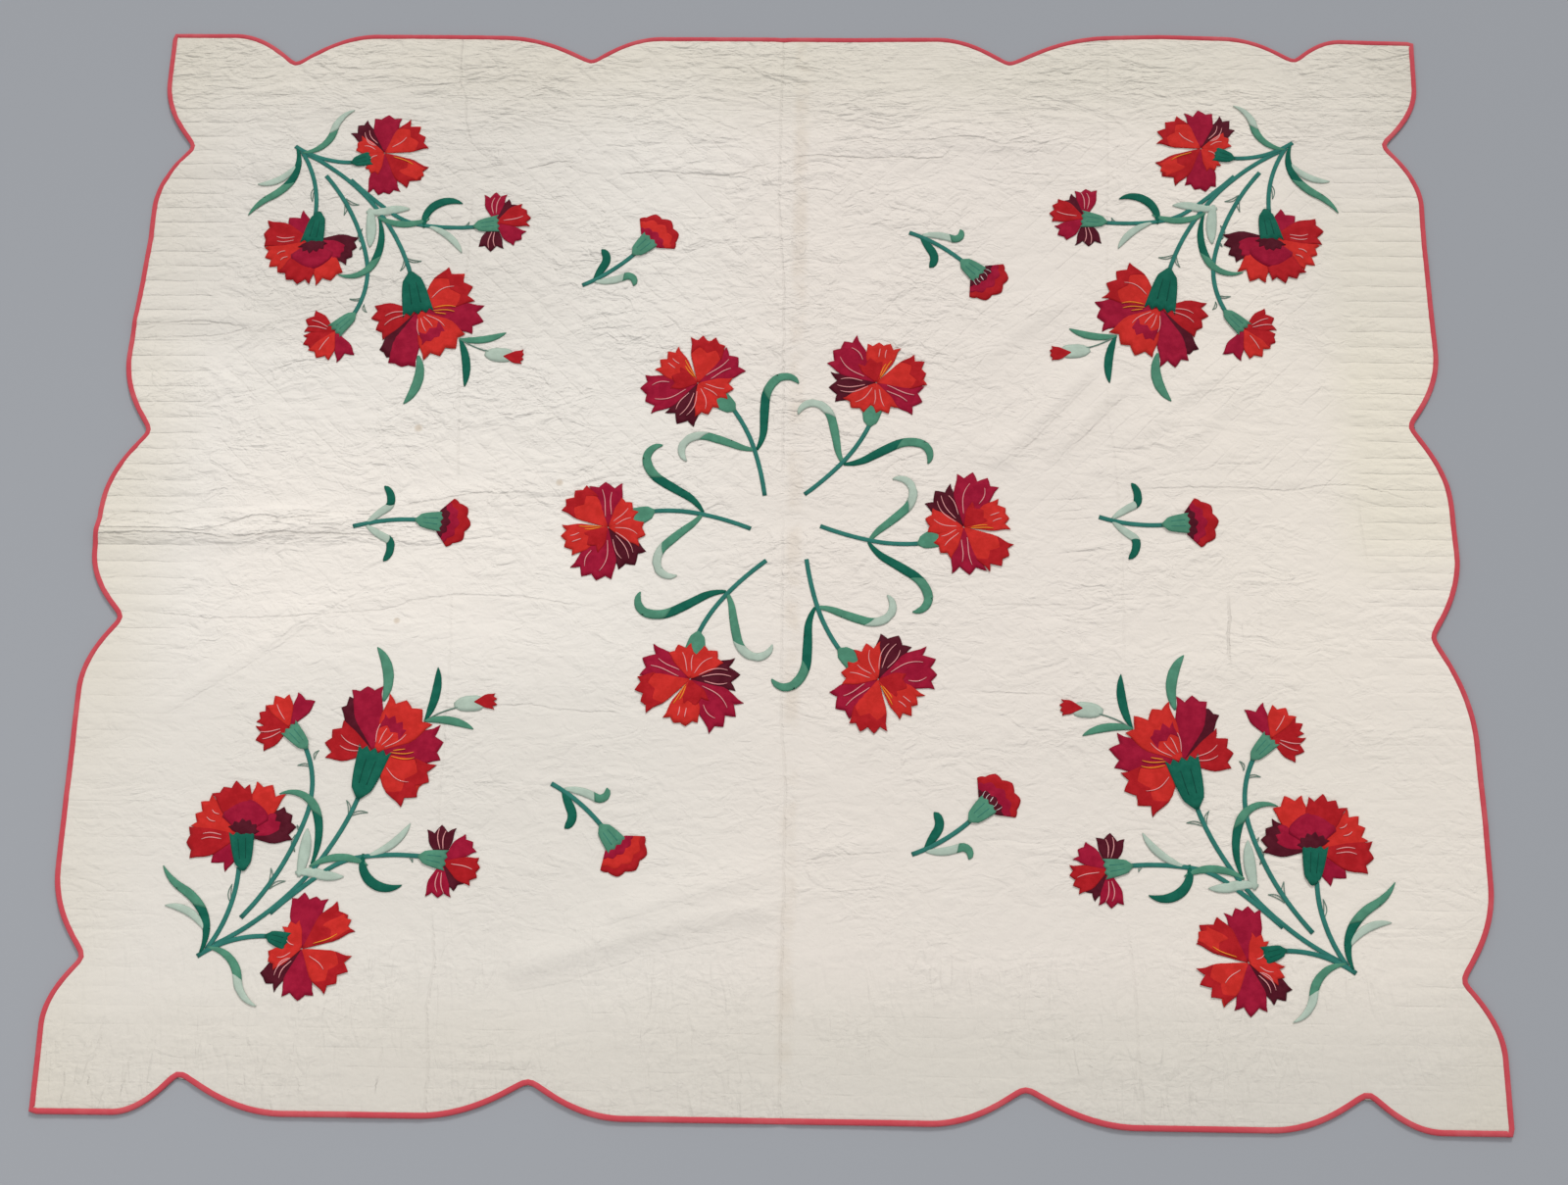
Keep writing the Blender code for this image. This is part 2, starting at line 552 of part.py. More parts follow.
def solid_of(outlines, cutters=()):
    """One tall solid of several outlines joined, with others cut away."""
    made = []
    for outline in list(outlines) + list(cutters):
        mesh = bpy.data.meshes.new("outline")
        bm = tall_outline(outline)
        bm.to_mesh(mesh)
        bm.free()
        tall = bpy.data.objects.new("outline", mesh)
        bpy.context.scene.collection.objects.link(tall)
        made.append(tall)
    base = made[0]
    for i, tall in enumerate(made[1:], 1):
        is_cutter = i >= len(outlines)
        tall.scale.z = CUTTER_TALLER if is_cutter else 1.0
        joint = base.modifiers.new("join", "BOOLEAN")
        joint.object = tall
        joint.operation = "DIFFERENCE" if is_cutter else "UNION"
        joint.solver = "EXACT"
    bpy.context.view_layer.update()
    result = base.evaluated_get(bpy.context.evaluated_depsgraph_get())
    bm = bmesh.new()
    bm.from_mesh(result.to_mesh())
    result.to_mesh_clear()
    for tall in made:
        bpy.data.objects.remove(tall, do_unlink=True)
    return bm


def keep_largest(bm):
    """Drops the crumbs that a cut leaves beside the main piece."""
    left, best = set(bm.verts), []
    while left:
        group, edge = [], [left.pop()]
        while edge:
            v = edge.pop()
            group.append(v)
            for e in v.link_edges:
                other = e.other_vert(v)
                if other in left:
                    left.remove(other)
                    edge.append(other)
        if len(group) > len(best):
            best = group
    kept = set(best)
    bmesh.ops.delete(bm, geom=[v for v in bm.verts if v not in kept], context="VERTS")


def lay_on_quilt(name, bm, look, surface, lines):
    """Lays a tall solid on the quilt as a thin patch that follows its folds."""
    keep_largest(bm)
    cut_along(bm, lines)
    for v in bm.verts:
        hit = surface.ray_cast(Vector((v.co.x, v.co.y, 1)), Vector((0, 0, -1)))[0]
        v.co.z = hit.z + PATCH_GAP + (PATCH_THICK if v.co.z > 0 else 0.0)
    bmesh.ops.triangulate(bm, faces=[f for f in bm.faces if len(f.verts) > 3])
    bmesh.ops.recalc_face_normals(bm, faces=bm.faces[:])
    return add_object(name, bm, look)


def wreath(surface, lines):
    for number, (turn, outwards) in enumerate(WREATH_FLOWERS, 1):
        x = WREATH_MIDDLE[0] + math.cos(math.radians(turn)) * outwards
        y = WREATH_MIDDLE[1] + math.sin(math.radians(turn)) * outwards
        place = (x, y, turn)
        head = placed(head_outline("wreath", WREATH_HEART, 0), *place)
        around = placed(head_outline("wreath", WREATH_HEART, 0, TRIM), *place)
        green = [stem_outline(WREATH_STEM), cup_outline(WREATH_CUP)]
        green += [leaf_outline(leaf) for leaf in WREATH_LEAVES]
        green = [placed(outline, *place) for outline in green]
        lay_on_quilt(f"wreath_head_{number}", solid_of([head]), RED, surface, lines)
        lay_on_quilt(f"wreath_stem_{number}", solid_of(green, [around]), GREEN, surface, lines)


def spray(number, x, y, flip_x, flip_y, surface, lines):
    place = (x, y, 0, flip_x, flip_y)
    arounds = []
    for kind, head in SPRAY_HEADS.items():
        rim = head_outline(kind, head["heart"], head["facing"])
        arounds.append(placed(head_outline(kind, head["heart"], head["facing"], TRIM), *place))
        lay_on_quilt(f"spray_{number}_{kind}_head", solid_of([placed(rim, *place)]), RED, surface, lines)
    green = [stem_outline(stem) for stem in SPRAY_STEMS]
    green += [cup_outline(cup) for cup in SPRAY_CUPS]
    green += [leaf_outline(leaf) for leaf in SPRAY_LEAVES]
    green = [placed(outline, *place) for outline in green]
    lay_on_quilt(f"spray_{number}_stems", solid_of(green, arounds), GREEN, surface, lines)
    under = [placed(leaf_outline(UNDER_LEAF), *place)]
    lay_on_quilt(f"spray_{number}_leaf", solid_of(under, arounds), GREEN, surface, lines)
    bud = [leaf_outline(leaf) for leaf in BUD_LEAVES]
    bud += [stem_outline(BUD_STEM), cup_outline(BUD_CUP), cup_outline(BUD_TIP)]
    bud = [placed(outline, *place) for outline in bud]
    lay_on_quilt(f"spray_{number}_bud", solid_of(bud, arounds), GREEN, surface, lines)


def sprig(number, x, y, degrees, flip, leaves, surface, lines):
    place = (x, y, degrees, 1, flip)
    bloom = placed(head_outline("side", SPRIG_HEART, SPRIG_FACING), *place)
    around = placed(head_outline("side", SPRIG_HEART, SPRIG_FACING, TRIM), *place)
    green = [stem_outline(SPRIG_STEM), cup_outline(SPRIG_CUP)]
    green += [leaf_outline(leaf) for leaf in SPRIG_LEAVES[leaves]]
    green = [placed(outline, *place) for outline in green]
    lay_on_quilt(f"sprig_{number}_bloom", solid_of([bloom]), RED, surface, lines)
    lay_on_quilt(f"sprig_{number}_stem", solid_of(green, [around]), GREEN, surface, lines)


def main():
    for thing in list(bpy.data.objects):
        bpy.data.objects.remove(thing, do_unlink=True)
    outer = quilt_outline()
    lines = bending_lines()
    body, surface = quilt_body(inset(outer, BINDING_WIDE + PIECE_GAP), lines)
    binding(outer, inset(outer, BINDING_WIDE))
    lines = crease_lines()
    wreath(surface, lines)
    for number, place in enumerate(SPRAYS, 1):
        spray(number, *place, surface, lines)
    for number, place in enumerate(SPRIGS, 1):
        sprig(number, *place, surface, lines)


main()
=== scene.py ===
# Applique quilt laid flat: scalloped cream cloth with carnation sprays and its storage folds
import math
import bmesh
import bpy
import numpy as np
from mathutils import Matrix, Vector, kdtree
from mathutils.bvhtree import BVHTree


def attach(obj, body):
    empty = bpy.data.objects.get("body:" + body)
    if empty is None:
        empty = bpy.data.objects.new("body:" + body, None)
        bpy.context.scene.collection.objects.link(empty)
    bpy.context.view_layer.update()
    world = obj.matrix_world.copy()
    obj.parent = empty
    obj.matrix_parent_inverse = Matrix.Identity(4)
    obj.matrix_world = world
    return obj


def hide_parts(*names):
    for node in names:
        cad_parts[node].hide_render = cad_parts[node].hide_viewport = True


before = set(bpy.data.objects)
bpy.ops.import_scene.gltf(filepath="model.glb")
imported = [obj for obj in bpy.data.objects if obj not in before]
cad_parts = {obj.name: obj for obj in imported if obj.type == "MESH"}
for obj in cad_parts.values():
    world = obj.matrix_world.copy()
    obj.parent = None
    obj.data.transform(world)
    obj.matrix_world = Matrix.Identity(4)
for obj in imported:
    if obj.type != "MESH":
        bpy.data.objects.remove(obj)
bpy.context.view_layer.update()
scene = bpy.context.scene
print("frame loaded")

# shader helpers


def plug(tree, node, sockets):
    # links the wires among the values and sets the rest
    for name, value in sockets.items():
        if isinstance(value, Wire):
            tree.links.new(value.socket, node.inputs[name])
        else:
            node.inputs[name].default_value = value


class Wire:
    # wraps one socket, so that sums on it add Math nodes
    def __init__(self, tree, socket=None):
        self.tree = tree
        self.socket = socket

    def add(self, kind, settings, sockets, output=0):
        made = self.tree.nodes.new(kind)
        for name, value in settings.items():
            setattr(made, name, value)
        plug(self.tree, made, sockets)
        return Wire(self.tree, made.outputs[output])

    def maths(self, operation, *values):
        return self.add("ShaderNodeMath", {"operation": operation}, dict(enumerate(values)))

    def __add__(self, other):
        return self.maths("ADD", self, other)

    def __radd__(self, other):
        return self.maths("ADD", other, self)

    def __sub__(self, other):
        return self.maths("SUBTRACT", self, other)

    def __rsub__(self, other):
        return self.maths("SUBTRACT", other, self)

    def __mul__(self, other):
        return self.maths("MULTIPLY", self, other)

    def __rmul__(self, other):
        return self.maths("MULTIPLY", other, self)

    def __truediv__(self, other):
        return self.maths("DIVIDE", self, other)

    def __rtruediv__(self, other):
        return self.maths("DIVIDE", other, self)

    def __abs__(self):
        return self.maths("ABSOLUTE", self)

    def sine(self):
        return self.maths("SINE", self)

    def squared(self):
        return self.maths("POWER", self, 2.0)

    def highest(self, other):
        return self.maths("MAXIMUM", self, other)

    def step(self, low, high, toLow=0.0, toHigh=1.0):
        # a soft ramp between two values
        return self.add("ShaderNodeMapRange", {"interpolation_type": "SMOOTHSTEP"},
                        {"Value": self, "From Min": low, "From Max": high, "To Min": toLow, "To Max": toHigh})

    def toNearest(self, pitch):
        # distance to the nearest of a row of lines
        return (self / pitch).maths("PINGPONG", self / pitch, 0.5) * pitch

    def noise(self, stretch, detail=2.0, roughness=0.5, distortion=0.0):
        spread = self.add("ShaderNodeMapping", {}, {"Vector": self, "Scale": stretch})
        return self.add("ShaderNodeTexNoise", {}, {"Vector": spread, "Scale": 1.0, "Detail": detail,
                                                   "Roughness": roughness, "Distortion": distortion})

    def mixColour(self, first, second):
        # this wire is the factor
        return self.add("ShaderNodeMix", {"data_type": "RGBA"}, {0: self, 6: first, 7: second}, output=2)

    def part(self, index):
        return self.add("ShaderNodeSeparateXYZ", {}, {0: self}, output=index)

    def attribute(self, name, output):
        # output 1 for a vector, 2 for a number
        return self.add("ShaderNodeAttribute", {"attribute_name": name}, {}, output=output)


def tint(red, green, blue):
    # a screen colour, 0 to 255, as the linear colour that Blender works in
    def linear(c):
        c = c / 255
        return c / 12.92 if c <= 0.04045 else ((c + 0.055) / 1.055) ** 2.4
    return (linear(red), linear(green), linear(blue), 1.0)


def newMaterial(name):
    # a material, and the wire of the object's own coordinates
    material = bpy.data.materials.new(name)
    material.use_nodes = True
    return material, Wire(material.node_tree).add("ShaderNodeTexCoord", {}, {}, output=3)


def finishMaterial(material, colour, height, look):
    # the height is in millimetres, and None leaves the surface even
    settings = {"Base Color": colour, "Roughness": look["roughness"], "Sheen Weight": look["sheen"],
                "Specular IOR Level": look["specular"]}
    if height:
        settings["Normal"] = height.add("ShaderNodeBump", {},
                                        {"Strength": 1.0, "Distance": 0.001, "Height": height})
    tree = material.node_tree
    plug(tree, tree.nodes["Principled BSDF"], settings)
    return material


def finishPiece(name, bm):
    # the worked mesh as a smooth object of the scene
    mesh = bpy.data.meshes.new(name)
    bm.to_mesh(mesh)
    bm.free()
    for face in mesh.polygons:
        face.use_smooth = True
    piece = bpy.data.objects.new(name, mesh)
    scene.collection.objects.link(piece)
    return piece


def metres(value):
    # the tables of places are in millimetres
    return tuple(metres(v) for v in value) if isinstance(value, tuple) else value / 1000


# outline of the quilt

outlineLook = {
    "cornerX": 1.160,
    "cornerY": 0.984,
    "notchSoftness": 0.05,
    "cornerRound": 0.012,
    "cornerPull": 0.7,
    "step": 0.006,
}
# in millimetres: place along the side, distance from the middle
crest = {
    "bottom": ((-1130, 986), (-640, 983), (200, 981), (600, 982), (1140, 981)),
    "right": ((-970, 1148), (-500, 1155), (20, 1152), (550, 1150), (970, 1163)),
    "top": ((-1150, 986), (-700, 985), (-200, 980), (280, 980), (700, 986), (1160, 972)),
    "left": ((-980, 1134), (-600, 1147), (-30, 1163), (550, 1143), (970, 1150)),
}
# in millimetres: place, depth, reach before and reach after
notches = {
    "bottom": ((-906, 58, 100, 170), (-359, 53, 170, 150), (409, 53, 150, 170), (931, 54, 150, 110)),
    "right": ((-747, 53, 120, 150), (-185, 52, 180, 150), (196, 54, 150, 140), (751, 60, 130, 120)),
    "top": ((-911, 60, 120, 150), (-356, 50, 170, 130), (419, 54, 140, 190), (941, 44, 130, 90)),
    "left": ((-742, 53, 110, 140), (-172, 56, 130, 120), (171, 58, 140, 150), (741, 58, 130, 140)),
}


def sideOut(side, place):
    # how far out the scalloped edge is, at places along one side
    places, outs = zip(*metres(crest[side]))
    out = np.interp(place, places, outs)
    soft = outlineLook["notchSoftness"]
    for middle, depth, before, after in metres(notches[side]):
        t = np.abs(place - middle) / np.where(place < middle, before, after)
        t = (np.hypot(t, soft) - soft) / (math.hypot(1, soft) - soft)
        out = out - depth * np.clip(1 - t, 0, None) ** 2
    return out


def quiltOutline():
    # the outer edge as a closed run of points, turning left from the near left corner
    corners = {}
    for across, endX in (("bottom", -1), ("bottom", 1), ("top", -1), ("top", 1)):
        endY = 1 if across == "top" else -1
        y = endY * float(sideOut(across, np.array(endX * outlineLook["cornerX"])))
        upright = "right" if endX > 0 else "left"
        corners[endX, endY] = Vector((endX * float(sideOut(upright, np.array(y))), y))
    runs = (("bottom", (-1, -1), (1, -1)), ("right", (1, -1), (1, 1)),
            ("top", (1, 1), (-1, 1)), ("left", (-1, 1), (-1, -1)))
    points = []
    for side, start, end in runs:
        axis = 0 if side in ("bottom", "top") else 1
        a, b = corners[start][axis], corners[end][axis]
        short = math.copysign(outlineLook["cornerRound"], b - a)
        count = round(abs(b - a) / outlineLook["step"])
        place = np.linspace(a + short, b - short, count)
        out = sideOut(side, place)
        out = out * (-1 if side in ("bottom", "left") else 1)
        x, y = (out, place) if axis else (place, out)
        points += list(zip(x, y))
        points.append(tuple(Vector(points[-1]).lerp(corners[end], outlineLook["cornerPull"])))
    return np.array(points)


def outwardOf(points):
    # unit vectors pointing out of a closed run of points that turns left
    run = np.roll(points, -1, axis=0) - np.roll(points, 1, axis=0)
    run /= np.linalg.norm(run, axis=1)[:, None]
    return np.stack([run[:, 1], -run[:, 0]], axis=1)


# how the cloth lies

clothLook = {
    "thickness": 0.005,
    "foldFade": 0.06,
    "leastLift": 0.0002,        # a lower lift leaves the underside on the floor
    "edgeDrop": 0.0012,         # the filling is thinner where the binding grips it
    "edgeReach": 0.012,
    # rise, waves per metre to the right and to the far side, shift
    "swells": ((0.00035, 1.30, 0.45, 0.4), (0.00030, -0.70, 1.55, 2.1), (0.00025, 2.10, -1.20, 4.0)),
    # rise in metres, length and width of the wrinkles, seed
    "wrinkles": ((0.00075, 0.150, 0.050, 11), (0.00055, 0.075, 0.026, 12), (0.00050, 0.060, 0.085, 13)),
}
# soft troughs and ridges: rise, half width, that of a gentler left side or 0, how far the whole sheet is
# lifted, all in metres, and the line in millimetres
folds = (
    (-0.0016, 0.011, 0, 0, (0, 990), (22, -100), (33, -990)),
    (-0.0007, 0.01, 0, 0, (-600, 990), (-523, -200), (-506, -990)),
    (-0.0006, 0.01, 0, 0, (597, 990), (584, -990)),
    (0, 0.017, 0, 0.007, (-1170, -18), (-920, -20), (-690, 4)),
    (0.0022, 0.008, 0, 0, (-1150, 20), (-930, 12), (-740, 34)),
    (0.0014, 0.008, 0, 0, (-1140, -52), (-950, -50), (-800, -36)),
    (-0.0008, 0.009, 0, 0, (-690, 6), (390, 38), (1070, 94)),
    (0.0011, 0.01, 0, 0, (-690, 30), (-500, 66), (-200, 60), (100, 56)),
    (0.0014, 0.011, 0, 0, (-660, 706), (-400, 722), (-310, 698), (-80, 698), (0, 740)),
    (0.0026, 0.019, 0, 0, (20, 750), (200, 764), (330, 770), (400, 760), (560, 750)),
    (-0.0008, 0.008, 0, 0, (-460, -310), (-210, -316), (280, -287), (500, -283)),
    (0.0064, 0.021, 0.038, 0, (-420, -764), (-269, -713), (-185, -689), (-69, -659), (45, -645)),
    (0.0056, 0.019, 0.036, 0, (-260, -678), (-160, -638), (-70, -613), (45, -580)),
    (0.0014, 0.012, 0, 0, (30, -566), (120, -552), (240, -546)),
    # pleats along the diagonal stitching, steep on one side
    (0.0046, 0.015, 0.034, 0, (330, 283), (408, 359), (478, 412), (539, 447)),
    (0.0066, 0.016, 0.036, 0, (360, 95), (438, 181), (499, 247), (575, 328)),
    (0.006, 0.015, 0.034, 0, (470, 126), (531, 197), (575, 247), (620, 288)),
    (0.0036, 0.014, 0.03, 0, (590, 136), (675, 220), (719, 258), (805, 322)),
    (0.0032, 0.013, 0.028, 0, (665, 128), (759, 212), (851, 300)),
    (0.0025, 0.013, 0.026, 0, (575, 72), (665, 152)),
    (0.0022, 0.013, 0.026, 0, (500, 52), (582, 140)),
    (0.0022, 0.012, 0.026, 0, (735, 101), (843, 204)),
    (0.003, 0.017, 0.032, 0, (-1130, 700), (-950, 698), (-800, 690)),
    (0.0019, 0.013, 0, 0, (-1030, -345), (-930, -275), (-820, -200), (-730, -140)),
    (0.0044, 0.016, 0.03, 0, (-1150, 382), (-1000, 384), (-870, 376)),
    (0.0012, 0.01, 0, 0, (-1100, -150), (-850, -158), (-620, -130), (-500, -112)),
    (0.0012, 0.009, 0, 0, (777, -90), (770, -260)),
    (0.0012, 0.01, 0, 0, (600, 88), (870, 90), (1090, 70)),
)
# thin creases: how sharp, and the line in millimetres
creases = (
    (0.52, (0, 970), (-2, 848), (-1, 765), (-2, 642), (11, 444), (16, 68)),
    (0.42, (17, 40), (21, -332), (31, -453), (30, -614), (31, -970)),
    (0.55, (-602, 970), (-599, 878), (-585, 842), (-581, 787), (-571, 758), (-560, 724)),
    (0.4, (-560, 680), (-556, 268), (-542, 49)),
    (0.3, (-541, -86), (-534, -233), (-530, -580)),
    (0.45, (-533, -642), (-519, -745), (-526, -817), (-517, -888), (-516, -970)),
    (0.28, (600, 970), (573, 221), (585, 117), (590, -52), (586, -263)),
    (0.32, (574, -640), (582, -769), (587, -970)),
    # the upper wave
    (0.35, (-639, 705), (-556, 689), (-502, 688)),
    (0.65, (-502, 688), (-457, 697), (-415, 709), (-386, 712), (-363, 706), (-348, 698)),
    (0.5, (-391, 694), (-371, 694), (-350, 686), (-308, 684)),
    (0.85, (-308, 684), (-227, 690), (-144, 684), (-99, 682), (-67, 689), (-42, 702), (-18, 711),
        (-6, 729)),
    (0.35, (-185, 674), (-144, 665), (-103, 656), (-53, 651)),
    (0.95, (4, 720), (72, 726), (154, 719), (215, 724), (248, 720), (293, 721), (309, 741), (334, 757)),
    (0.6, (51, 747), (154, 762), (199, 755), (256, 757), (318, 765), (355, 765), (399, 751), (461, 752),
        (505, 747)),
    (0.4, (382, 692), (427, 692), (471, 688), (528, 672)),
    (0.35, (-585, 842), (-561, 868), (-529, 892)),
    (0.35, (-620, 822), (-581, 787), (-558, 787)),
    (0.4, (-524, 825), (-440, 869), (-371, 902)),
    (0.28, (-518, 822), (-465, 799), (-415, 777)),
    (0.3, (-537, 731), (-497, 758), (-429, 791)),
    (0.4, (-93, 861), (-42, 840), (2, 816)),
    (0.4, (-178, 825), (-104, 789), (-28, 753)),
    # left border and the strong ridge
    (0.3, (-1053, 666), (-997, 671), (-943, 667)),
    (0.6, (-1115, 377), (-1017, 381), (-923, 369)),
    (0.55, (-1111, 350), (-988, 355), (-907, 378)),
    (0.5, (-1144, 3), (-1127, 13), (-1100, 16), (-1034, 14), (-988, 24), (-934, 30)),
    (0.75, (-1145, -14), (-1030, -14), (-971, -19), (-934, -5), (-893, 11), (-866, 13), (-844, 6),
        (-792, 12), (-722, 7)),
    (1.0, (-1148, -24), (-1068, -22), (-975, -24), (-943, -29), (-905, -35)),
    (0.9, (-975, -24), (-900, -27), (-851, -20), (-719, -20), (-618, -24)),
    (0.4, (-1087, -28), (-1063, -34), (-1040, -32)),
    (0.55, (-855, 19), (-816, 22), (-761, 18), (-684, 24), (-622, 19)),
    (0.4, (-1133, -5), (-1110, -1), (-1062, -6), (-1008, -3)),
    (0.6, (-670, 23), (-604, 39), (-512, 58), (-393, 58)),
    (0.45, (-1078, -162), (-942, -173), (-848, -172), (-731, -162), (-653, -157), (-608, -140),
        (-538, -127), (-420, -130), (-279, -149)),
    (0.3, (-613, -93), (-680, -114), (-752, -163), (-799, -187), (-837, -224), (-877, -271)),
    (0.25, (-1028, -359), (-928, -294), (-819, -220), (-762, -171)),
    # right half
    (0.5, (607, 74), (693, 79), (803, 78), (873, 74), (951, 86), (1007, 82), (1096, 53)),
    (0.4, (442, 52), (575, 59)),
    (0.4, (449, 30), (566, 40)),
    (0.35, (456, 14), (574, 24)),
    (0.35, (455, -45), (579, -35)),
    (0.3, (322, -137), (576, -134)),
    (0.45, (621, -166), (650, -162), (682, -153)),
    (0.45, (663, -76), (661, -158)),
    (0.9, (766, -95), (758, -213), (760, -261)),
    (0.35, (814, -123), (812, -212)),
    (0.35, (990, 86), (993, -3), (1000, -80)),
    (0.25, (532, 444), (426, 388), (327, 316)),
    (0.34, (395, 112), (452, 169), (513, 234), (585, 312)),
    (0.32, (494, 128), (545, 184), (589, 234), (622, 266)),
    (0.25, (500, 462), (409, 417), (327, 361)),
    # near half
    (0.5, (-485, -323), (-393, -318), (-347, -327), (-255, -330), (-216, -335)),
    (0.45, (314, -288), (410, -289), (489, -292)),
    (0.35, (30, -580), (116, -563), (233, -554)),
    (0.16, (-422, -794), (-307, -771), (-199, -733), (-90, -709), (27, -686)),
    (0.14, (-325, -698), (-238, -679), (-151, -651), (-63, -613), (25, -590)),
    (0.6, (-592, -850), (-593, -924)),
    (0.4, (-1036, -822), (-1037, -870), (-1046, -925)),
    (0.45, (-980, -869), (-992, -938)),
    (0.32, (-953, -835), (-947, -903)),
    (0.32, (-920, -798), (-918, -860)),
    (0.32, (-873, -770), (-877, -841)),
    (0.32, (-1086, -885), (-1086, -953)),
    (0.26, (-822, -645), (-811, -710)),
    (0.26, (-724, -868), (-720, -930)),
    (0.24, (-262, -845), (-266, -910)),
    (0.24, (345, -838), (352, -905)),
)


def softStep(t):
    t = np.clip(t, 0, 1)
    return t * t * (3 - 2 * t)


def nearestOn(line, x, y):
    # distance to a line of points, below zero on its right, and how far its nearest spot is from
    # the line's ends
    best, place, side, run = np.full(x.shape, 9.0), np.zeros(x.shape), np.ones(x.shape), 0.0
    for (ax, ay), (bx, by) in zip(line, line[1:]):
        long = math.hypot(bx - ax, by - ay)
        t = np.clip(((x - ax) * (bx - ax) + (y - ay) * (by - ay)) / long ** 2, 0, 1)
        away = np.hypot(x - ax - t * (bx - ax), y - ay - t * (by - ay))
        place = np.where(away < best, run + t * long, place)
        side = np.where(away < best, np.sign((bx - ax) * (y - ay) - (by - ay) * (x - ax)), side)
        best = np.minimum(best, away)
        run += long
    return best * side, np.minimum(place, run - place)


def endFade(x, y, fromEnd):
    # a fold dies away at its ends, but runs out over the edge of the quilt
    openEnd = (np.abs(x) > outlineLook["cornerX"] - 0.06) | (np.abs(y) > outlineLook["cornerY"] - 0.06)
    return np.where(openEnd, 1.0, softStep(fromEnd / clothLook["foldFade"]))


def foldsAt(which, x, y):
    # the summed rise (0) or lift (3) of the folds
    total = 0
    for fold in folds:
        half, back, line = fold[1], fold[2], metres(fold[4:])
        if fold[which]:
            away, fromEnd = nearestOn(line, x, y)
            wide = np.where(away > 0, back or half, half)
            power = 1.6 if back else 2
            total = total + fold[which] * endFade(x, y, fromEnd) * np.exp(-np.abs(away / wide) ** power)
    return total


def liftOf(x, y):
    # the strong ridge lifts the whole sheet off the surface
    high = foldsAt(3, x, y)
    return np.where(high > clothLook["leastLift"], high, 0.0)


def softNoise(x, y, longX, longY, seed):
    # smooth random hills, the same each run
    side = 128
    table = np.random.default_rng(seed).uniform(-1, 1, (side, side))
    gx, gy = x / longX + 40.0, y / longY + 40.0
    ix, iy = np.floor(gx).astype(int), np.floor(gy).astype(int)
    fx, fy = softStep(gx - ix), softStep(gy - iy)
    near = table[ix % side, iy % side] * (1 - fx) + table[(ix + 1) % side, iy % side] * fx
    far = table[ix % side, (iy + 1) % side] * (1 - fx) + table[(ix + 1) % side, (iy + 1) % side] * fx
    return near * (1 - fy) + far * fy


def clothHeight(x, y):
    # the upper surface without its quilting
    z = clothLook["thickness"] + liftOf(x, y) + foldsAt(0, x, y)
    for high, wavesX, wavesY, shift in clothLook["swells"]:
        z = z + high * np.sin(2 * math.pi * (wavesX * x + wavesY * y) + shift)
    calm = 0.55 + 0.45 * softStep((y + 0.80) / 0.45)
    for high, longX, longY, seed in clothLook["wrinkles"]:
        bent = y + 0.02 * softNoise(x, y, 0.2, 0.2, seed + 50)
        z = z + calm * high * softNoise(x, bent, longX, longY, seed)
    return z


# patches of applique cloth

patchLook = {
    "thickness": 0.0008,
    "rimHeight": 0.0007,        # the turned edge stands this far off the quilt
    "puff": 0.0006,
    "layerStep": 0.0004,
    "overlap": 8.0,             # degrees by which petals run under each other near the heart
    "flare": 2.0,               # and by which their tips spread
    "rounding": 0.03,
    "free": 0.55,               # petals part beyond this share of their reach
    "toothDepth": 0.44,         # of a tooth's own width
    "veinWide": 0.0015,
    "veinHeight": 0.0012,
    "veinPuff": 0.0003,
    "sproutWide": 0.0014,
    "sproutPuff": 0.0002,
    "calyxPuff": 0.0010,
    "seamHeight": 0.0011,       # above the calyx's own rim
    "seamPuff": 0.0001,
    "stemWide": 7.5,            # in millimetres, like the tables of stems and leaves
}
toneNames = ("orange", "scarlet", "crimson", "maroon", "vein", "white", "stamen", "dark", "mid", "pale",
             "stem", "seam", "sprout")


def placedBy(x, y, degrees, flipX=1, flipY=1):
    # turns, mirrors and moves flat points to a motif's place
    c, s = math.cos(math.radians(degrees)), math.sin(math.radians(degrees))

    def move(px, py):
        px, py = px * flipX, py * flipY
        return x + c * px - s * py, y + s * px + c * py
    return move


def layerHeight(layer):
    return patchLook["rimHeight"] + patchLook["layerStep"] * layer


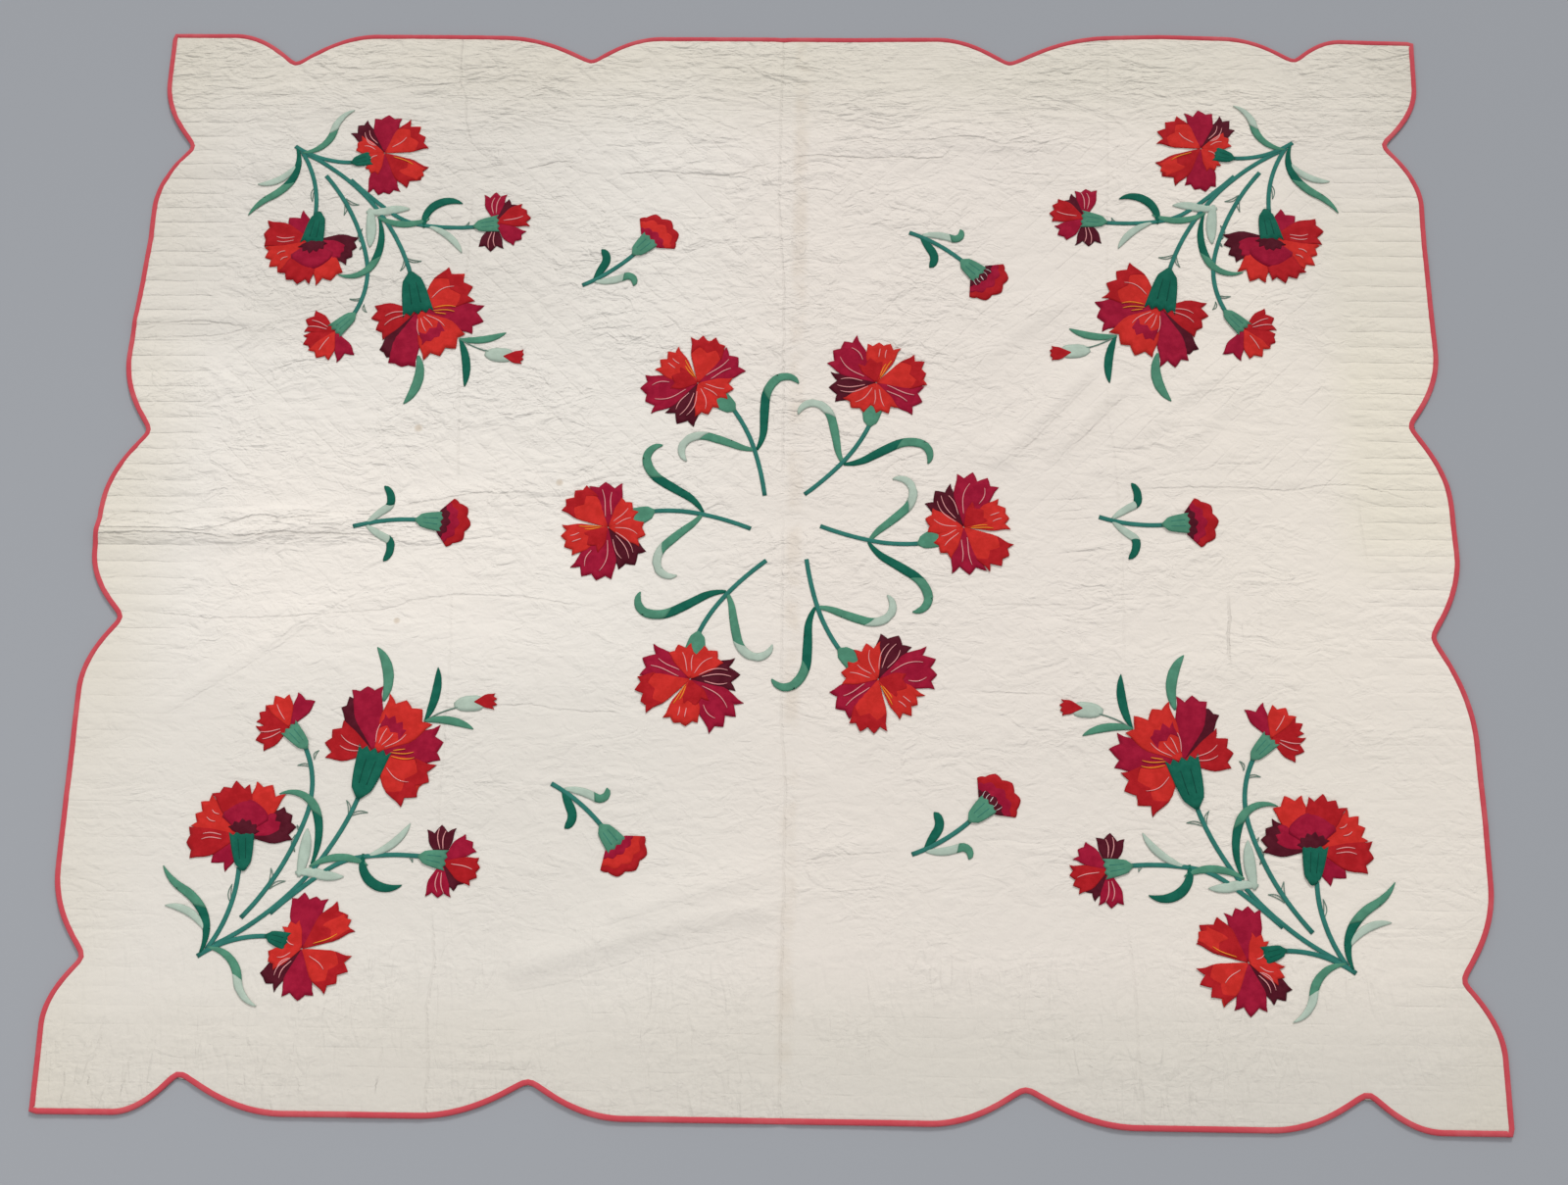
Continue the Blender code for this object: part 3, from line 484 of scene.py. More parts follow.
def addPatch(bm, columns, rows, shape, move, tone, high, puff=patchLook["puff"]):
    # one thin puffed patch: shape(u, v) gives flat places for u and v from 0 to 1
    made = bmesh.ops.create_grid(bm, x_segments=columns, y_segments=rows, size=1.0)["verts"]
    u, v = (np.array([(p.co.x, p.co.y) for p in made]) / 2 + 0.5).T
    x, y = move(*shape(u, v))
    middle = np.clip(np.minimum(np.minimum(u, 1 - u), np.minimum(v, 1 - v)) * 5, 0, 1)
    z = clothHeight(x, y) + high - patchLook["thickness"] + puff * (1 - (1 - middle) ** 2)
    rim = bm.verts.layers.float["rim"]
    for p, px, py, pz, m in zip(made, x, y, z, middle):
        p.co = (px, py, pz)
        p[rim] = 1 - m
    faces = list(dict.fromkeys(f for p in made for f in p.link_faces))
    bmesh.ops.recalc_face_normals(bm, faces=faces)
    if sum(f.normal.z for f in faces) < 0:
        bmesh.ops.reverse_faces(bm, faces=faces)
    raised = bmesh.ops.extrude_face_region(bm, geom=faces, use_keep_orig=True)["geom"]
    upper = [g for g in raised if isinstance(g, bmesh.types.BMVert)]
    bmesh.ops.translate(bm, verts=upper, vec=(0, 0, patchLook["thickness"]))
    bmesh.ops.reverse_faces(bm, faces=faces)
    index = toneNames.index(tone)
    for f in {f for p in upper for f in p.link_faces} | set(faces):
        f.material_index = index


def course(x, y, heading, wide, *arcs):
    # a run of arcs, each with its length and turn, from a place given in millimetres
    return dict(start=metres((x, y)), heading=heading, wide=wide / 1000,
                arcs=[(long / 1000, turn) for long, turn in arcs])


def calyx(x, y, heading, long, wide):
    return dict(start=metres((x, y)), heading=heading, long=long / 1000, wide=wide / 1000)


def arcPoints(run, step=0.004):
    # points along a run of arcs, with headings in radians
    x, y = run["start"]
    heading = math.radians(run["heading"])
    points = [(x, y, heading)]
    for long, turn in run["arcs"]:
        count = max(2, math.ceil(long / step))
        bend = math.radians(turn) / count
        for _ in range(count):
            heading += bend / 2
            x += math.cos(heading) * long / count
            y += math.sin(heading) * long / count
            heading += bend / 2
            points.append((x, y, heading))
    return np.array(points)


def alongRun(points, halfAt, first=0.0, last=1.0, slant=0.0):
    # a strip along a run of points; halfAt gives its half width at shares of its length
    shares = np.linspace(0, 1, len(points))

    def shape(u, v):
        share = first + (last - first) * v
        share = np.clip(share + slant * (u - 0.5) * (v < 0.5 if first > 0 else v > 0.5), 0, 1)
        x, y, heading = (np.interp(share, shares, points[:, i]) for i in range(3))
        off = (2 * u - 1) * halfAt(share)
        return x - np.sin(heading) * off, y + np.cos(heading) * off
    return shape


def rowsAlong(run, step, least):
    return max(least, round(sum(long for long, turn in run["arcs"]) / step))


def addStem(bm, run, move, tone="stem"):
    shape = alongRun(arcPoints(run), lambda t: run["wide"] / 2 + 0 * t)
    addPatch(bm, 4, rowsAlong(run, 0.009, 3), shape, move, tone, patchLook["rimHeight"])


# share of the leaf's length, share of its half width
leafProfiles = {
    "blunt": ((0, 0.30), (0.08, 0.55), (0.20, 0.82), (0.40, 1.0), (0.70, 1.0), (0.86, 0.88), (0.95, 0.60),
              (1, 0.14)),
    "pointed": ((0, 0.25), (0.08, 0.48), (0.22, 0.80), (0.45, 1.0), (0.65, 0.97), (0.82, 0.72), (0.93, 0.40),
                (1, 0.08)),
}


def leafHalf(wide, profile):
    shares, halves = zip(*leafProfiles[profile])
    return lambda share: wide / 2 * np.interp(share, shares, halves)


def addLeaf(bm, run, move, tones, layer=0, profile="pointed"):
    # a leaf in one cloth, or in two that meet part of the way along
    points = arcPoints(run)
    half = leafHalf(run["wide"], profile)
    high = layerHeight(layer)
    rows = rowsAlong(run, 0.005, 10)
    if len(tones) == 1:
        addPatch(bm, 4, rows, alongRun(points, half), move, tones[0], high)
        return
    first, second, share = tones
    lower, upper = alongRun(points, half, 0.0, share + 0.03, 0.08), alongRun(points, half, share, 1.0, 0.10)
    addPatch(bm, 4, max(4, round(rows * share)), lower, move, first, high)
    addPatch(bm, 4, max(4, round(rows * (1 - share))), upper, move, second, high + patchLook["layerStep"])


def toothWave(u, teeth):
    # 0 at the tips and 1 in the cuts between them
    return 1 - np.abs((2 * u * teeth) % 2 - 1)


def polar(heart, angle, radius):
    return heart[0] + np.cos(angle) * radius, heart[1] + np.sin(angle) * radius


def addPetal(bm, row, heart, facing, move, seed):
    degrees, half, start, reach, teeth, tone, layer = row
    start, reach = start / 1000, reach / 1000
    # each petal and each band has a rim of its own
    vary = np.random.default_rng(seed * 400 + degrees + 200)
    jitter = vary.uniform(-0.04, 0.04, 2 * teeth + 1)
    stops = np.linspace(0, 1, 2 * teeth + 1)
    startTeeth = max(1, teeth - 1)

    def shape(u, v):
        wide = 2 * u - 1
        depth = patchLook["toothDepth"] * 2 * math.radians(half) / teeth
        cut = depth * toothWave(u, teeth) + np.interp(u, stops, jitter)
        outer = reach * (1.02 - cut - patchLook["rounding"] * wide ** 2)
        inner = np.full_like(u, 0.0015)
        if start > 0.01:
            inner = start * (1 + 0.16 * (toothWave(u, startTeeth) - 0.5))
        radius = inner + (outer - inner) * v
        share = radius / reach
        joined = 1 - softStep((share - patchLook["free"]) / (0.95 - patchLook["free"]))
        spread = half + patchLook["flare"] + patchLook["overlap"] * joined
        bow = 3.0 * np.sin(math.pi * np.clip(share, 0, 1)) * math.copysign(1, degrees)
        return polar(heart, np.radians(degrees + facing + bow + spread * wide), radius)
    addPatch(bm, 8 * teeth, 9, shape, move, tone, layerHeight(layer))


def addDome(bm, row, heart, facing, move):
    # a rounded petal without teeth
    degrees, half, start, reach, waves, tone, layer = row
    start, reach = start / 1000, reach / 1000

    def shape(u, v):
        wide = 2 * u - 1
        outer = reach * (1 - 0.22 * np.abs(wide) ** 3 + 0.03 * np.cos(waves * math.pi * wide))
        radius = start + (outer - start) * v
        return polar(heart, np.radians(degrees + facing + half * wide), radius)
    addPatch(bm, 16, 7, shape, move, tone, layerHeight(layer))


bloomLook = {
    "half": 70,
    "reach": 0.052,
    "base": 0.020,              # half width where it leaves the calyx
    "setBack": 0.004,
}


def addBloom(bm, row, heart, facing, move):
    # one band of a small bloom: a fan whose foot is as wide as the calyx
    share, points, depth, tone, layer = row
    turned = placedBy(*heart, facing)

    def shape(u, v):
        wide = 2 * u - 1
        reach = bloomLook["reach"] * (1 - 0.09 * wide ** 4)
        angle = np.radians(bloomLook["half"] * wide)
        along = v * share * (1 - depth * toothWave(u, points) ** 1.3)
        x = (np.cos(angle) * reach + bloomLook["setBack"]) * along - bloomLook["setBack"]
        y = bloomLook["base"] * wide * (1 - along) + np.sin(angle) * reach * along
        return turned(x, y)
    addPatch(bm, 8 * points, 7, shape, move, tone, layerHeight(layer))


def addThread(bm, row, heart, facing, move):
    # an embroidered line from one polar place to another
    startDegrees, start, endDegrees, end, bend, *tone = row
    start, end = start / 1000, end / 1000

    def shape(u, v):
        radius = start + (end - start) * v
        angle = startDegrees + (endDegrees - startDegrees) * v + bend * np.sin(math.pi * v)
        angle = np.radians(angle + facing)
        x, y = polar(heart, angle, radius)
        off = (2 * u - 1) * patchLook["veinWide"] / 2 * np.sin(math.pi * (0.12 + 0.76 * v)) ** 0.5
        return x - np.sin(angle) * off, y + np.cos(angle) * off
    rows = max(6, round(abs(end - start) / 0.004))
    high = patchLook["veinHeight"] + patchLook["layerStep"] * 4
    addPatch(bm, 2, rows, shape, move, tone[0] if tone else "vein", high, patchLook["veinPuff"])


def addSprout(bm, root, tip, bulge, move):
    # a little leaf drawn with two bowed lines of stitching
    (ax, ay), (bx, by) = root, tip
    long = math.hypot(bx - ax, by - ay)
    for side in (0.25, 1.0):

        def shape(u, v):
            bow = bulge * side * np.sin(math.pi * v) + (2 * u - 1) * patchLook["sproutWide"] / 2
            return ax + (bx - ax) * v - (by - ay) / long * bow, ay + (by - ay) * v + (bx - ax) / long * bow
        addPatch(bm, 2, 8, shape, move, "sprout", patchLook["rimHeight"], patchLook["sproutPuff"])


# share of the calyx's length, share of its width
cupRows = ((0.0, 0.30), (0.06, 0.50), (0.16, 0.64), (0.45, 0.80), (1.0, 1.0))


def addCup(bm, cup, move, tone, layer, teeth=0):
    # a calyx: rounded at the stem, widening to its rim, which may be cut into points
    turned = placedBy(*cup["start"], cup["heading"])
    places, shares = zip(*cupRows)

    def shape(u, v):
        wide = 2 * u - 1
        brim = 0.10 * (1 - toothWave(u, teeth)) - 0.02 if teeth else 0.03 * (1 - wide ** 2)
        long = cup["long"] * (1 + brim)
        half = cup["wide"] / 2 * np.interp(v, places, shares)
        start = 0.005 * wide ** 2 * (1 - v) * cup["wide"] / 0.04
        ahead = start + (long - start) * v
        return turned(ahead, wide * half)
    high = layerHeight(layer)
    addPatch(bm, 4 * teeth if teeth else 12, 8, shape, move, tone, high, patchLook["calyxPuff"])
    # two faint lines of stitching run up it
    for u0 in (0.34, 0.66) if teeth else ():

        def line(u, v):
            return shape(u0 + (u - 0.5) * 0.035, 0.30 + 0.50 * v)
        seam = "stem" if tone == "mid" else "seam"
        addPatch(bm, 2, 5, line, move, seam, high + patchLook["seamHeight"], patchLook["seamPuff"])


# flowers, with their lengths in millimetres

# degrees from the flower's facing, half spread, start, reach, teeth, tone, layer
petalTables = {
    "wreath": ((126, 19, 0, 81, 2, "maroon", 0), (73, 21, 0, 97, 3, "crimson", 1),
        (-84, 18, 0, 86, 2, "crimson", 1), (19, 20, 0, 80, 3, "orange", 2),
        (-41, 19, 0, 89, 3, "orange", 2), (-41, 19, 64, 90, 3, "scarlet", 3),
        (-160, 20, 0, 50, 3, "orange", 2), (168, 19, 0, 64, 2, "orange", 3),
        (-130, 18, 0, 61, 2, "orange", 3), (42, 28, 0, 49, 2, "scarlet", 3)),
    "open": ((106, 18, 0, 86, 3, "crimson", 0), (-113, 13, 0, 77, 2, "maroon", 0),
        (-69, 17, 0, 80, 2, "crimson", 1), (58, 17, 0, 89, 2, "scarlet", 1),
        (52, 8, 48, 86, 2, "orange", 2), (-13, 24, 0, 80, 3, "orange", 2),
        (-13, 24, 60, 81, 3, "scarlet", 3), (137, 16, 0, 48, 2, "orange", 2),
        (180, 20, 0, 36, 2, "orange", 2), (-138, 15, 0, 56, 2, "orange", 3)),
    "bell": ((112, 24, 0, 64, 2, "crimson", 0), (-95, 19, 0, 84, 3, "maroon", 1),
        (-85, 16, 0, 66, 3, "crimson", 2), (76, 15, 0, 92, 2, "scarlet", 2),
        (38, 18, 0, 88, 3, "orange", 1), (-48, 15, 0, 93, 2, "orange", 2), (-3, 19, 0, 89, 3, "scarlet", 3),
        (-30, 66, 0, 29, 5, "maroon", 5)),
    "fan": ((-90, 18, 0, 60, 2, "crimson", 1), (-50, 11, 0, 54, 1, "maroon", 0),
        (36, 16, 0, 59, 2, "crimson", 1), (-14, 21, 0, 63, 3, "scarlet", 2),
        (96, 22, 0, 58, 2, "maroon", 0)),
    "great": ((-109, 23, 0, 103, 3, "orange", 1), (-109, 23, 74, 104, 3, "scarlet", 2),
        (-64, 13, 0, 116, 2, "crimson", 0), (43, 9, 0, 102, 2, "maroon", 0),
        (26, 11, 0, 114, 2, "crimson", 1), (86, 24, 0, 82, 3, "scarlet", 1),
        (-20, 24, 0, 103, 3, "orange", 2), (-16, 19, 46, 70, 3, "crimson", 3)),
    "small": ((18, 14, 0, 58, 2, "scarlet", 0), (-70, 14, 0, 62, 1, "crimson", 1),
        (65, 22, 0, 57, 2, "scarlet", 1), (-18, 20, 0, 60, 2, "orange", 2)),
}
# rounded pieces: degrees, half spread, start, reach, waves, tone, layer
domeTables = {
    "bell": ((-26, 54, 2, 58, 2, "crimson", 4),),
}
# bands of the small blooms: share of the reach, points, their depth, tone, layer
bloomTables = {
    "sideBanded": ((1, 4, 0.12, "scarlet", 1), (0.78, 4, 0.15, "orange", 2), (0.42, 4, 0.2, "crimson", 3)),
    "sideStitched": ((1, 4, 0.12, "scarlet", 1), (0.72, 4, 0.16, "crimson", 2), (0.38, 4, 0.22, "maroon", 3)),
    "sideDark": ((1, 4, 0.12, "scarlet", 1), (0.7, 4, 0.16, "crimson", 2), (0.4, 4, 0.24, "maroon", 3)),
}
# embroidered lines: start degrees and reach, end degrees and reach, bend, and the tone unless it is "vein"
threadTables = {
    "wreath": ((90, 24, 82, 80, 5), (58, 50, 63, 80, -3), (146, 16, 134, 64, 5), (132, 20, 124, 68, 3),
        (112, 24, 114, 62, -4), (176, 12, 166, 52, 5), (-158, 14, -155, 42, 4), (-128, 14, -133, 48, -4),
        (12, 50, 14, 66, 1), (25, 50, 24, 66, 0), (-74, 20, -79, 70, -4), (-100, 24, -93, 64, 4),
        (-8, 12, -2, 50, 3, "stamen"), (2, 14, 5, 40, 3, "stamen")),
    "open": ((-118, 22, -113, 58, -6), (-106, 24, -104, 56, -5), (-122, 24, -121, 46, -5),
        (-20, 18, -20, 50, 4), (-140, 18, -140, 40, 5), (176, 14, 172, 28, 4),
        (45, 20, 44, 60, -3, "stamen")),
    "bell": ((78, 34, 74, 66, -4), (67, 34, 66, 64, -3), (42, 52, 42, 68, 2), (28, 54, 30, 68, 2)),
    "fan": ((-100, 18, -92, 50, -5), (-84, 18, -80, 52, -4), (-12, 16, -12, 52, 3), (104, 20, 100, 54, 4),
        (90, 20, 88, 50, 4)),
    "great": ((-120, 34, -112, 78, -5), (-72, 28, -72, 66, -3, "stamen"), (-84, 30, -80, 68, -3, "stamen"),
        (-66, 32, -66, 52, 0, "stamen"), (10, 18, 8, 50, 3), (-8, 18, -8, 46, 2), (-26, 18, -26, 44, -2),
        (-44, 20, -42, 60, -4), (82, 24, 78, 64, 4), (98, 24, 94, 58, 4)),
    "small": ((70, 16, 68, 48, 3), (54, 16, 52, 50, 3), (-10, 16, -14, 46, 1)),
    "sideStitched": ((-84, 15, -56, 21, 0, "white"), (-78, 8, -26, 14, 0, "white"),
        (20, 4, 16, 13, 0, "white"), (80, 9, 42, 16, 0, "white"), (86, 16, 62, 22, 0, "white")),
}


def addHead(bm, kind, heart, facing, move, seed):
    for i, row in enumerate(petalTables.get(kind, ())):
        addPetal(bm, row, heart, facing, move, seed * 20 + i)
    for row in domeTables.get(kind, ()):
        addDome(bm, row, heart, facing, move)
    for row in bloomTables.get(kind, ()):
        addBloom(bm, row, heart, facing, move)
    for row in threadTables.get(kind, ()):
        addThread(bm, row, heart, facing, move)


# where the motifs lie, in millimetres and degrees

stemWide = patchLook["stemWide"]
wreath = {
    "middle": (22, 0),
    "heart": (311, 3),
    "stem": course(68, 3, -22, stemWide, (88, 10), (86, 18)),
    "cup": calyx(232, -29, 21, 46, 38),
    "leaves": (
        (course(150, -26, -60, 16, (45, 30), (50, -3), (42, -38), (50, -112)), ("dark", "mid", 0.56)),
        (course(150, -26, 60, 15, (34, -22), (54, 6), (34, 46), (50, 112)), ("mid", "pale", 0.56)),
    ),
    # turn, and how far each flower is moved outwards
    "flowers": ((0, -9), (60, 0), (120, 0), (180, -9), (240, 0), (300, 0)),
}
spray = {
    # heart, facing, calyx, its tone, layer and points
    "heads": {
        "open": ((727, 728), 160, calyx(787, 707, 164, 36, 30), "dark", 4, 2),
        "bell": ((842, 547), 292, calyx(834, 605, 278, 62, 42), "dark", 5, 3),
        "fan": ((514, 585), 178, calyx(553, 577, 172, 44, 34), "mid", 4, 3),
        "great": ((640, 407), 254, calyx(659, 484, 256, 82, 56), "dark", 5, 4),
        "small": ((783, 365), 317, calyx(750, 401, 314, 48, 32), "mid", 4, 3),
    },
    "stems": (
        course(893, 742, 216, stemWide, (116, -38)),
        course(880, 731, 236, stemWide, (140, 36)),
        course(869, 724, 207, stemWide, (334, 45)),
        course(784, 672, 224, stemWide, (110, -8), (60, -28), (100, -14)),
        course(830, 680, 229, stemWide, (190, 26), (126, 45)),
    ),
    "leaves": (
        (course(878, 728, 178, 14, (78, -80), (58, 62)), ("mid", "pale", 0.55)),
        (course(889, 736, 246, 15, (76, 60), (44, 24), (52, -32)), ("dark", "mid", 0.45)),
        (course(886, 700, 300, 13, (82, 62)), ("pale",)),
        (course(750, 606, 188, 17, (40, -22), (40, 18)), ("pale",)),
        (course(744, 613, 258, 19, (80, 14)), ("pale",)),
        (course(725, 592, 250, 14, (88, 40), (78, 92)), ("dark", "mid", 0.5)),
        (course(642, 574, 78, 16, (104, 130)), ("dark",)),
        (course(634, 577, 196, 13, (86, 48)), ("pale",)),
        (course(728, 596, 214, 13, (100, -64)), ("mid",)),
    ),
    "underLeaf": (course(632, 318, 250, 18, (100, 62)), ("mid",)),
    "budLeaves": (
        (course(560, 350, 244, 15, (94, 34)), ("dark",)),
        (course(562, 351, 192, 14, (86, -42)), ("mid",)),
    ),
    # thin outline stitched sprouts: root, tip, and how far they bulge
    "sprouts": (
        ((847, 659), (850, 626), 6), ((789, 633), (764, 620), 6), ((793, 631), (790, 599), -6),
        ((754, 572), (756, 544), 6), ((745, 536), (755, 528), 4), ((671, 513), (641, 506), 6),
        ((673, 509), (678, 486), -5), ((739, 432), (764, 429), -5), ((737, 419), (731, 403), 5),
        ((574, 574), (561, 587), 5),
    ),
    "budStem": course(560, 351, 216, 2.2, (66, -26)),
    "budCup": course(514, 323.5, 190, 27, (52, -12)),
    "budTip": (0, 20, 0, 38, 3, "scarlet", 2),
    "budHeart": (482, 317.5),
    "budFacing": 181,
    # shift and mirroring of each of the four
    "places": ((0, 0, -1, 1), (34, 14, 1, 1), (-6, 3, -1, -1), (34, 4, 1, -1)),
}
sprig = {
    "heart": (150, 0),
    "facing": 9,
    "stem": course(0, 0, -14, stemWide, (112, 22)),
    "cup": calyx(106, -6, 8, 46, 38),
    "leaves": {
        "corner": (
            (course(24, -3, 18, 15, (34, 6), (34, 84)), ("dark",)),
            (course(22, -8, -42, 14, (55, 30), (32, -150)), ("pale", "mid", 0.6)),
        ),
        "side": (
            (course(22, -2, 44, 14, (46, -14), (10, 50), (36, 60)), ("pale", "dark", 0.56)),
            (course(22, -4, -44, 14, (46, 14), (10, -50), (36, -60)), ("pale", "dark", 0.56)),
        ),
    },
    # root, direction, mirrored or not, which leaves, which flower
    "places": ((-349, 459, 38, 1, "corner", "sideBanded"), (233, 568, -34, -1, "corner", "sideStitched"),
               (-717, -6, 4, -1, "side", "sideDark"), (553, 24, -4, 1, "side", "sideDark"),
               (-351, -451, -42, -1, "corner", "sideBanded"), (235, -560, 34, 1, "corner", "sideStitched")),
}

toneLook = {
    # colour, and how far it fades and darkens
    "orange": ((202, 42, 35), 0.10),
    "scarlet": ((174, 22, 29), 0.10),
    "crimson": ((156, 12, 48), 0.12),
    "maroon": ((82, 12, 30), 0.12),
    "vein": ((232, 160, 158), 0.05),
    "white": ((228, 214, 208), 0.05),
    "stamen": ((240, 150, 44), 0.05),
    "dark": ((14, 96, 77), 0.10),
    "mid": ((80, 138, 112), 0.10),
    "pale": ((178, 194, 178), 0.06),
    "stem": ((48, 118, 106), 0.08),
    "seam": ((8, 74, 60), 0.05),
    "sprout": ((108, 134, 120), 0.05),
    "weavePitch": 0.00055,
    "weaveDepth": 0.1,          # in millimetres, like the next
    "puckerDepth": 0.55,
    "roughness": 0.86,
    "sheen": 0.03,
    "specular": 0.12,
    "rimShade": 0.84,
}


def weaveOf(place, pitch):
    # over and under threads of a plain weave, 0 to 1
    across, along = ((place.part(i) * (math.pi / pitch)).sine() for i in (0, 1))
    return (across * along) * 0.5 + 0.5


def toneMaterial(name):
    screen, change = toneLook[name]
    material, place = newMaterial("cotton_" + name)
    colour = tint(*screen)
    darker = tuple(c * toneLook["rimShade"] for c in colour[:3]) + (1.0,)
    low = tuple(c * (1 - change) for c in colour[:3]) + (1.0,)
    high = tuple(min(1.0, c * (1 + change) + 0.004) for c in colour[:3]) + (1.0,)
    rim, weave = place.attribute("rim", 2), weaveOf(place, toneLook["weavePitch"])
    base = place.noise((60, 60, 60), 3.0, 0.6).step(0.35, 0.7).mixColour(low, high)
    base = rim.step(0.55, 1.0, 0.0, 0.75).mixColour(base, darker)
    base = (weave * 0.12).mixColour(base, darker)
    pucker = place.noise((170, 170, 170), 2.0, 0.6)
    height = weave * toneLook["weaveDepth"] + pucker * toneLook["puckerDepth"]
    return finishMaterial(material, base, height, toneLook)


toneMaterials = [toneMaterial(name) for name in toneNames]
motifPieces = []


def startMotif():
    bm = bmesh.new()
    bm.verts.layers.float.new("rim")
    return bm


def finishMotif(name, bm, slot, *nodes):
    # the extruding numbers the faces differently each run, so they are put in the order of their places
    for index, face in enumerate(sorted(bm.faces, key=lambda f: f.calc_center_median()[:])):
        face.index = index
    bm.faces.sort()
    piece = finishPiece(name, bm)
    faces = piece.data.polygons
    used = sorted({face.material_index for face in faces})
    for index in used:
        piece.data.materials.append(toneMaterials[index])
    for face in faces:
        face.material_index = used.index(face.material_index)
    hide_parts(*nodes)
    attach(piece, "root")
    motifPieces.append(piece)


# seeds of the petals' rims: 1 to 6 in the wreath, 46 to 68 in the sprays, 81 to 86 in the sprigs
for number, (turn, outwards) in enumerate(wreath["flowers"], 1):
    middle = placedBy(*metres(wreath["middle"]), turn)(outwards / 1000, 0)
    move = placedBy(*middle, turn)
    bm = startMotif()
    addHead(bm, "wreath", metres(wreath["heart"]), 0, move, number)
    finishMotif(f"wreathFlower{number}", bm, "petals", f"wreath_head_{number}")
    bm = startMotif()
    addStem(bm, wreath["stem"], move)
    addCup(bm, wreath["cup"], move, "mid", 0)
    for run, tones in wreath["leaves"]:
        addLeaf(bm, run, move, tones, profile="blunt")
    finishMotif(f"wreathGreens{number}", bm, "greenery", f"wreath_stem_{number}")
print("wreath done")

for number, (x, y, flipX, flipY) in enumerate(spray["places"], 1):
    move = placedBy(x / 1000, y / 1000, 0, flipX, flipY)
    greens = startMotif()
    for run in spray["stems"]:
        addStem(greens, run, move)
    for run, tones in spray["leaves"]:
        addLeaf(greens, run, move, tones, 1)
    for root, tip, bulge in metres(spray["sprouts"]):
        addSprout(greens, root, tip, bulge, move)
    for index, (kind, (heart, facing, cup, tone, layer, teeth)) in enumerate(spray["heads"].items()):
        bm = startMotif()
        addHead(bm, kind, metres(heart), facing, move, 40 + number * 6 + index)
        finishMotif(f"spray{number}{kind.capitalize()}", bm, "petals", f"spray_{number}_{kind}_head")
        addCup(greens, cup, move, tone, layer, teeth)
    finishMotif(f"spray{number}Greens", greens, "greenery", f"spray_{number}_stems")
    bm = startMotif()
    run, tones = spray["underLeaf"]
    addLeaf(bm, run, move, tones)
    finishMotif(f"spray{number}Leaf", bm, "greenery", f"spray_{number}_leaf")
    bm = startMotif()
    for run, tones in spray["budLeaves"]:
        addLeaf(bm, run, move, tones)
    addStem(bm, spray["budStem"], move, "sprout")
    addLeaf(bm, spray["budCup"], move, ("pale",), profile="blunt")
    addPetal(bm, spray["budTip"], metres(spray["budHeart"]), spray["budFacing"], move, number)
    finishMotif(f"spray{number}Bud", bm, "greenery", f"spray_{number}_bud")
print("sprays done")

for number, (x, y, degrees, flip, leaves, kind) in enumerate(sprig["places"], 1):
    move = placedBy(x / 1000, y / 1000, degrees, 1, flip)
    bm = startMotif()
    addHead(bm, kind, metres(sprig["heart"]), sprig["facing"], move, 80 + number)
    finishMotif(f"sprig{number}Bloom", bm, "petals", f"sprig_{number}_bloom")
    bm = startMotif()
    addStem(bm, sprig["stem"], move)
    addCup(bm, sprig["cup"], move, "mid", 4, 3)
    for run, tones in sprig["leaves"][leaves]:
        addLeaf(bm, run, move, tones, profile="blunt")
    finishMotif(f"sprig{number}Greens", bm, "greenery", f"sprig_{number}_stem")
print("sprigs done")

# the quilted sheet

sheetLook = {
    "halfX": 1.155,             # of the straight grid that the sheet starts as
    "halfY": 0.9825,
    "cells": (308, 262),
    "underCells": (77, 66),
    "warpX": 0.93,              # the grid is straight inside this and follows the scallops outside
    "warpY": 0.76,
    "inset": 0.0045,            # the edge is hidden in the binding
    "fieldPitch": 0.045,
    "borderPitch": 0.0298,
    "rowShift": 0.017,
    "borderX": 0.99,
    "borderY": 0.81,
    "relief": 0.0013,
    "creaseReach": 0.012,       # a crease's own shading ends this far from its line
    "creaseApart": 0.036,       # lines nearer than this to each other go to different channels
    "creaseNone": 0.03,         # the distance that stands for no crease
    "motifNone": 0.05,          # and for no motif
    "weavePitch": 0.0006,
    "roughness": 0.9,
    "sheen": 0.05,
    "specular": 0.2,
    "sunk": 0.0006,             # the cloth is held down under the patches
    "clearance": 0.012,         # the quilting stops this far from a motif
    "field": (235, 228, 218),
    "middle": (235, 225, 214),
    "warm": (238, 228, 215),
    # painted light, laid on the left of the field
    "paintedLight": (242, 233, 222),
    "border": (225, 217, 202),
    # the outer corners: partly yellowing, partly painted shade
    "corner": (214, 206, 190),
    # painted shade
    "paintedShade": (214, 207, 196),
    "yellowed": (231, 223, 200),
    # painted shade in the stitch grooves and in the crinkles' sharp valleys
    "groove": (182, 172, 158),
    # painted shade in the crease valleys, with some dirt along the folds
    "fold": (150, 140, 126),
    "stain": (176, 146, 104),
    # place and size of the small spots
    "spots": ((-0.368, 0.079, 0.008), (-0.620, 0.179, 0.009), (-0.628, -0.174, 0.007)),
}


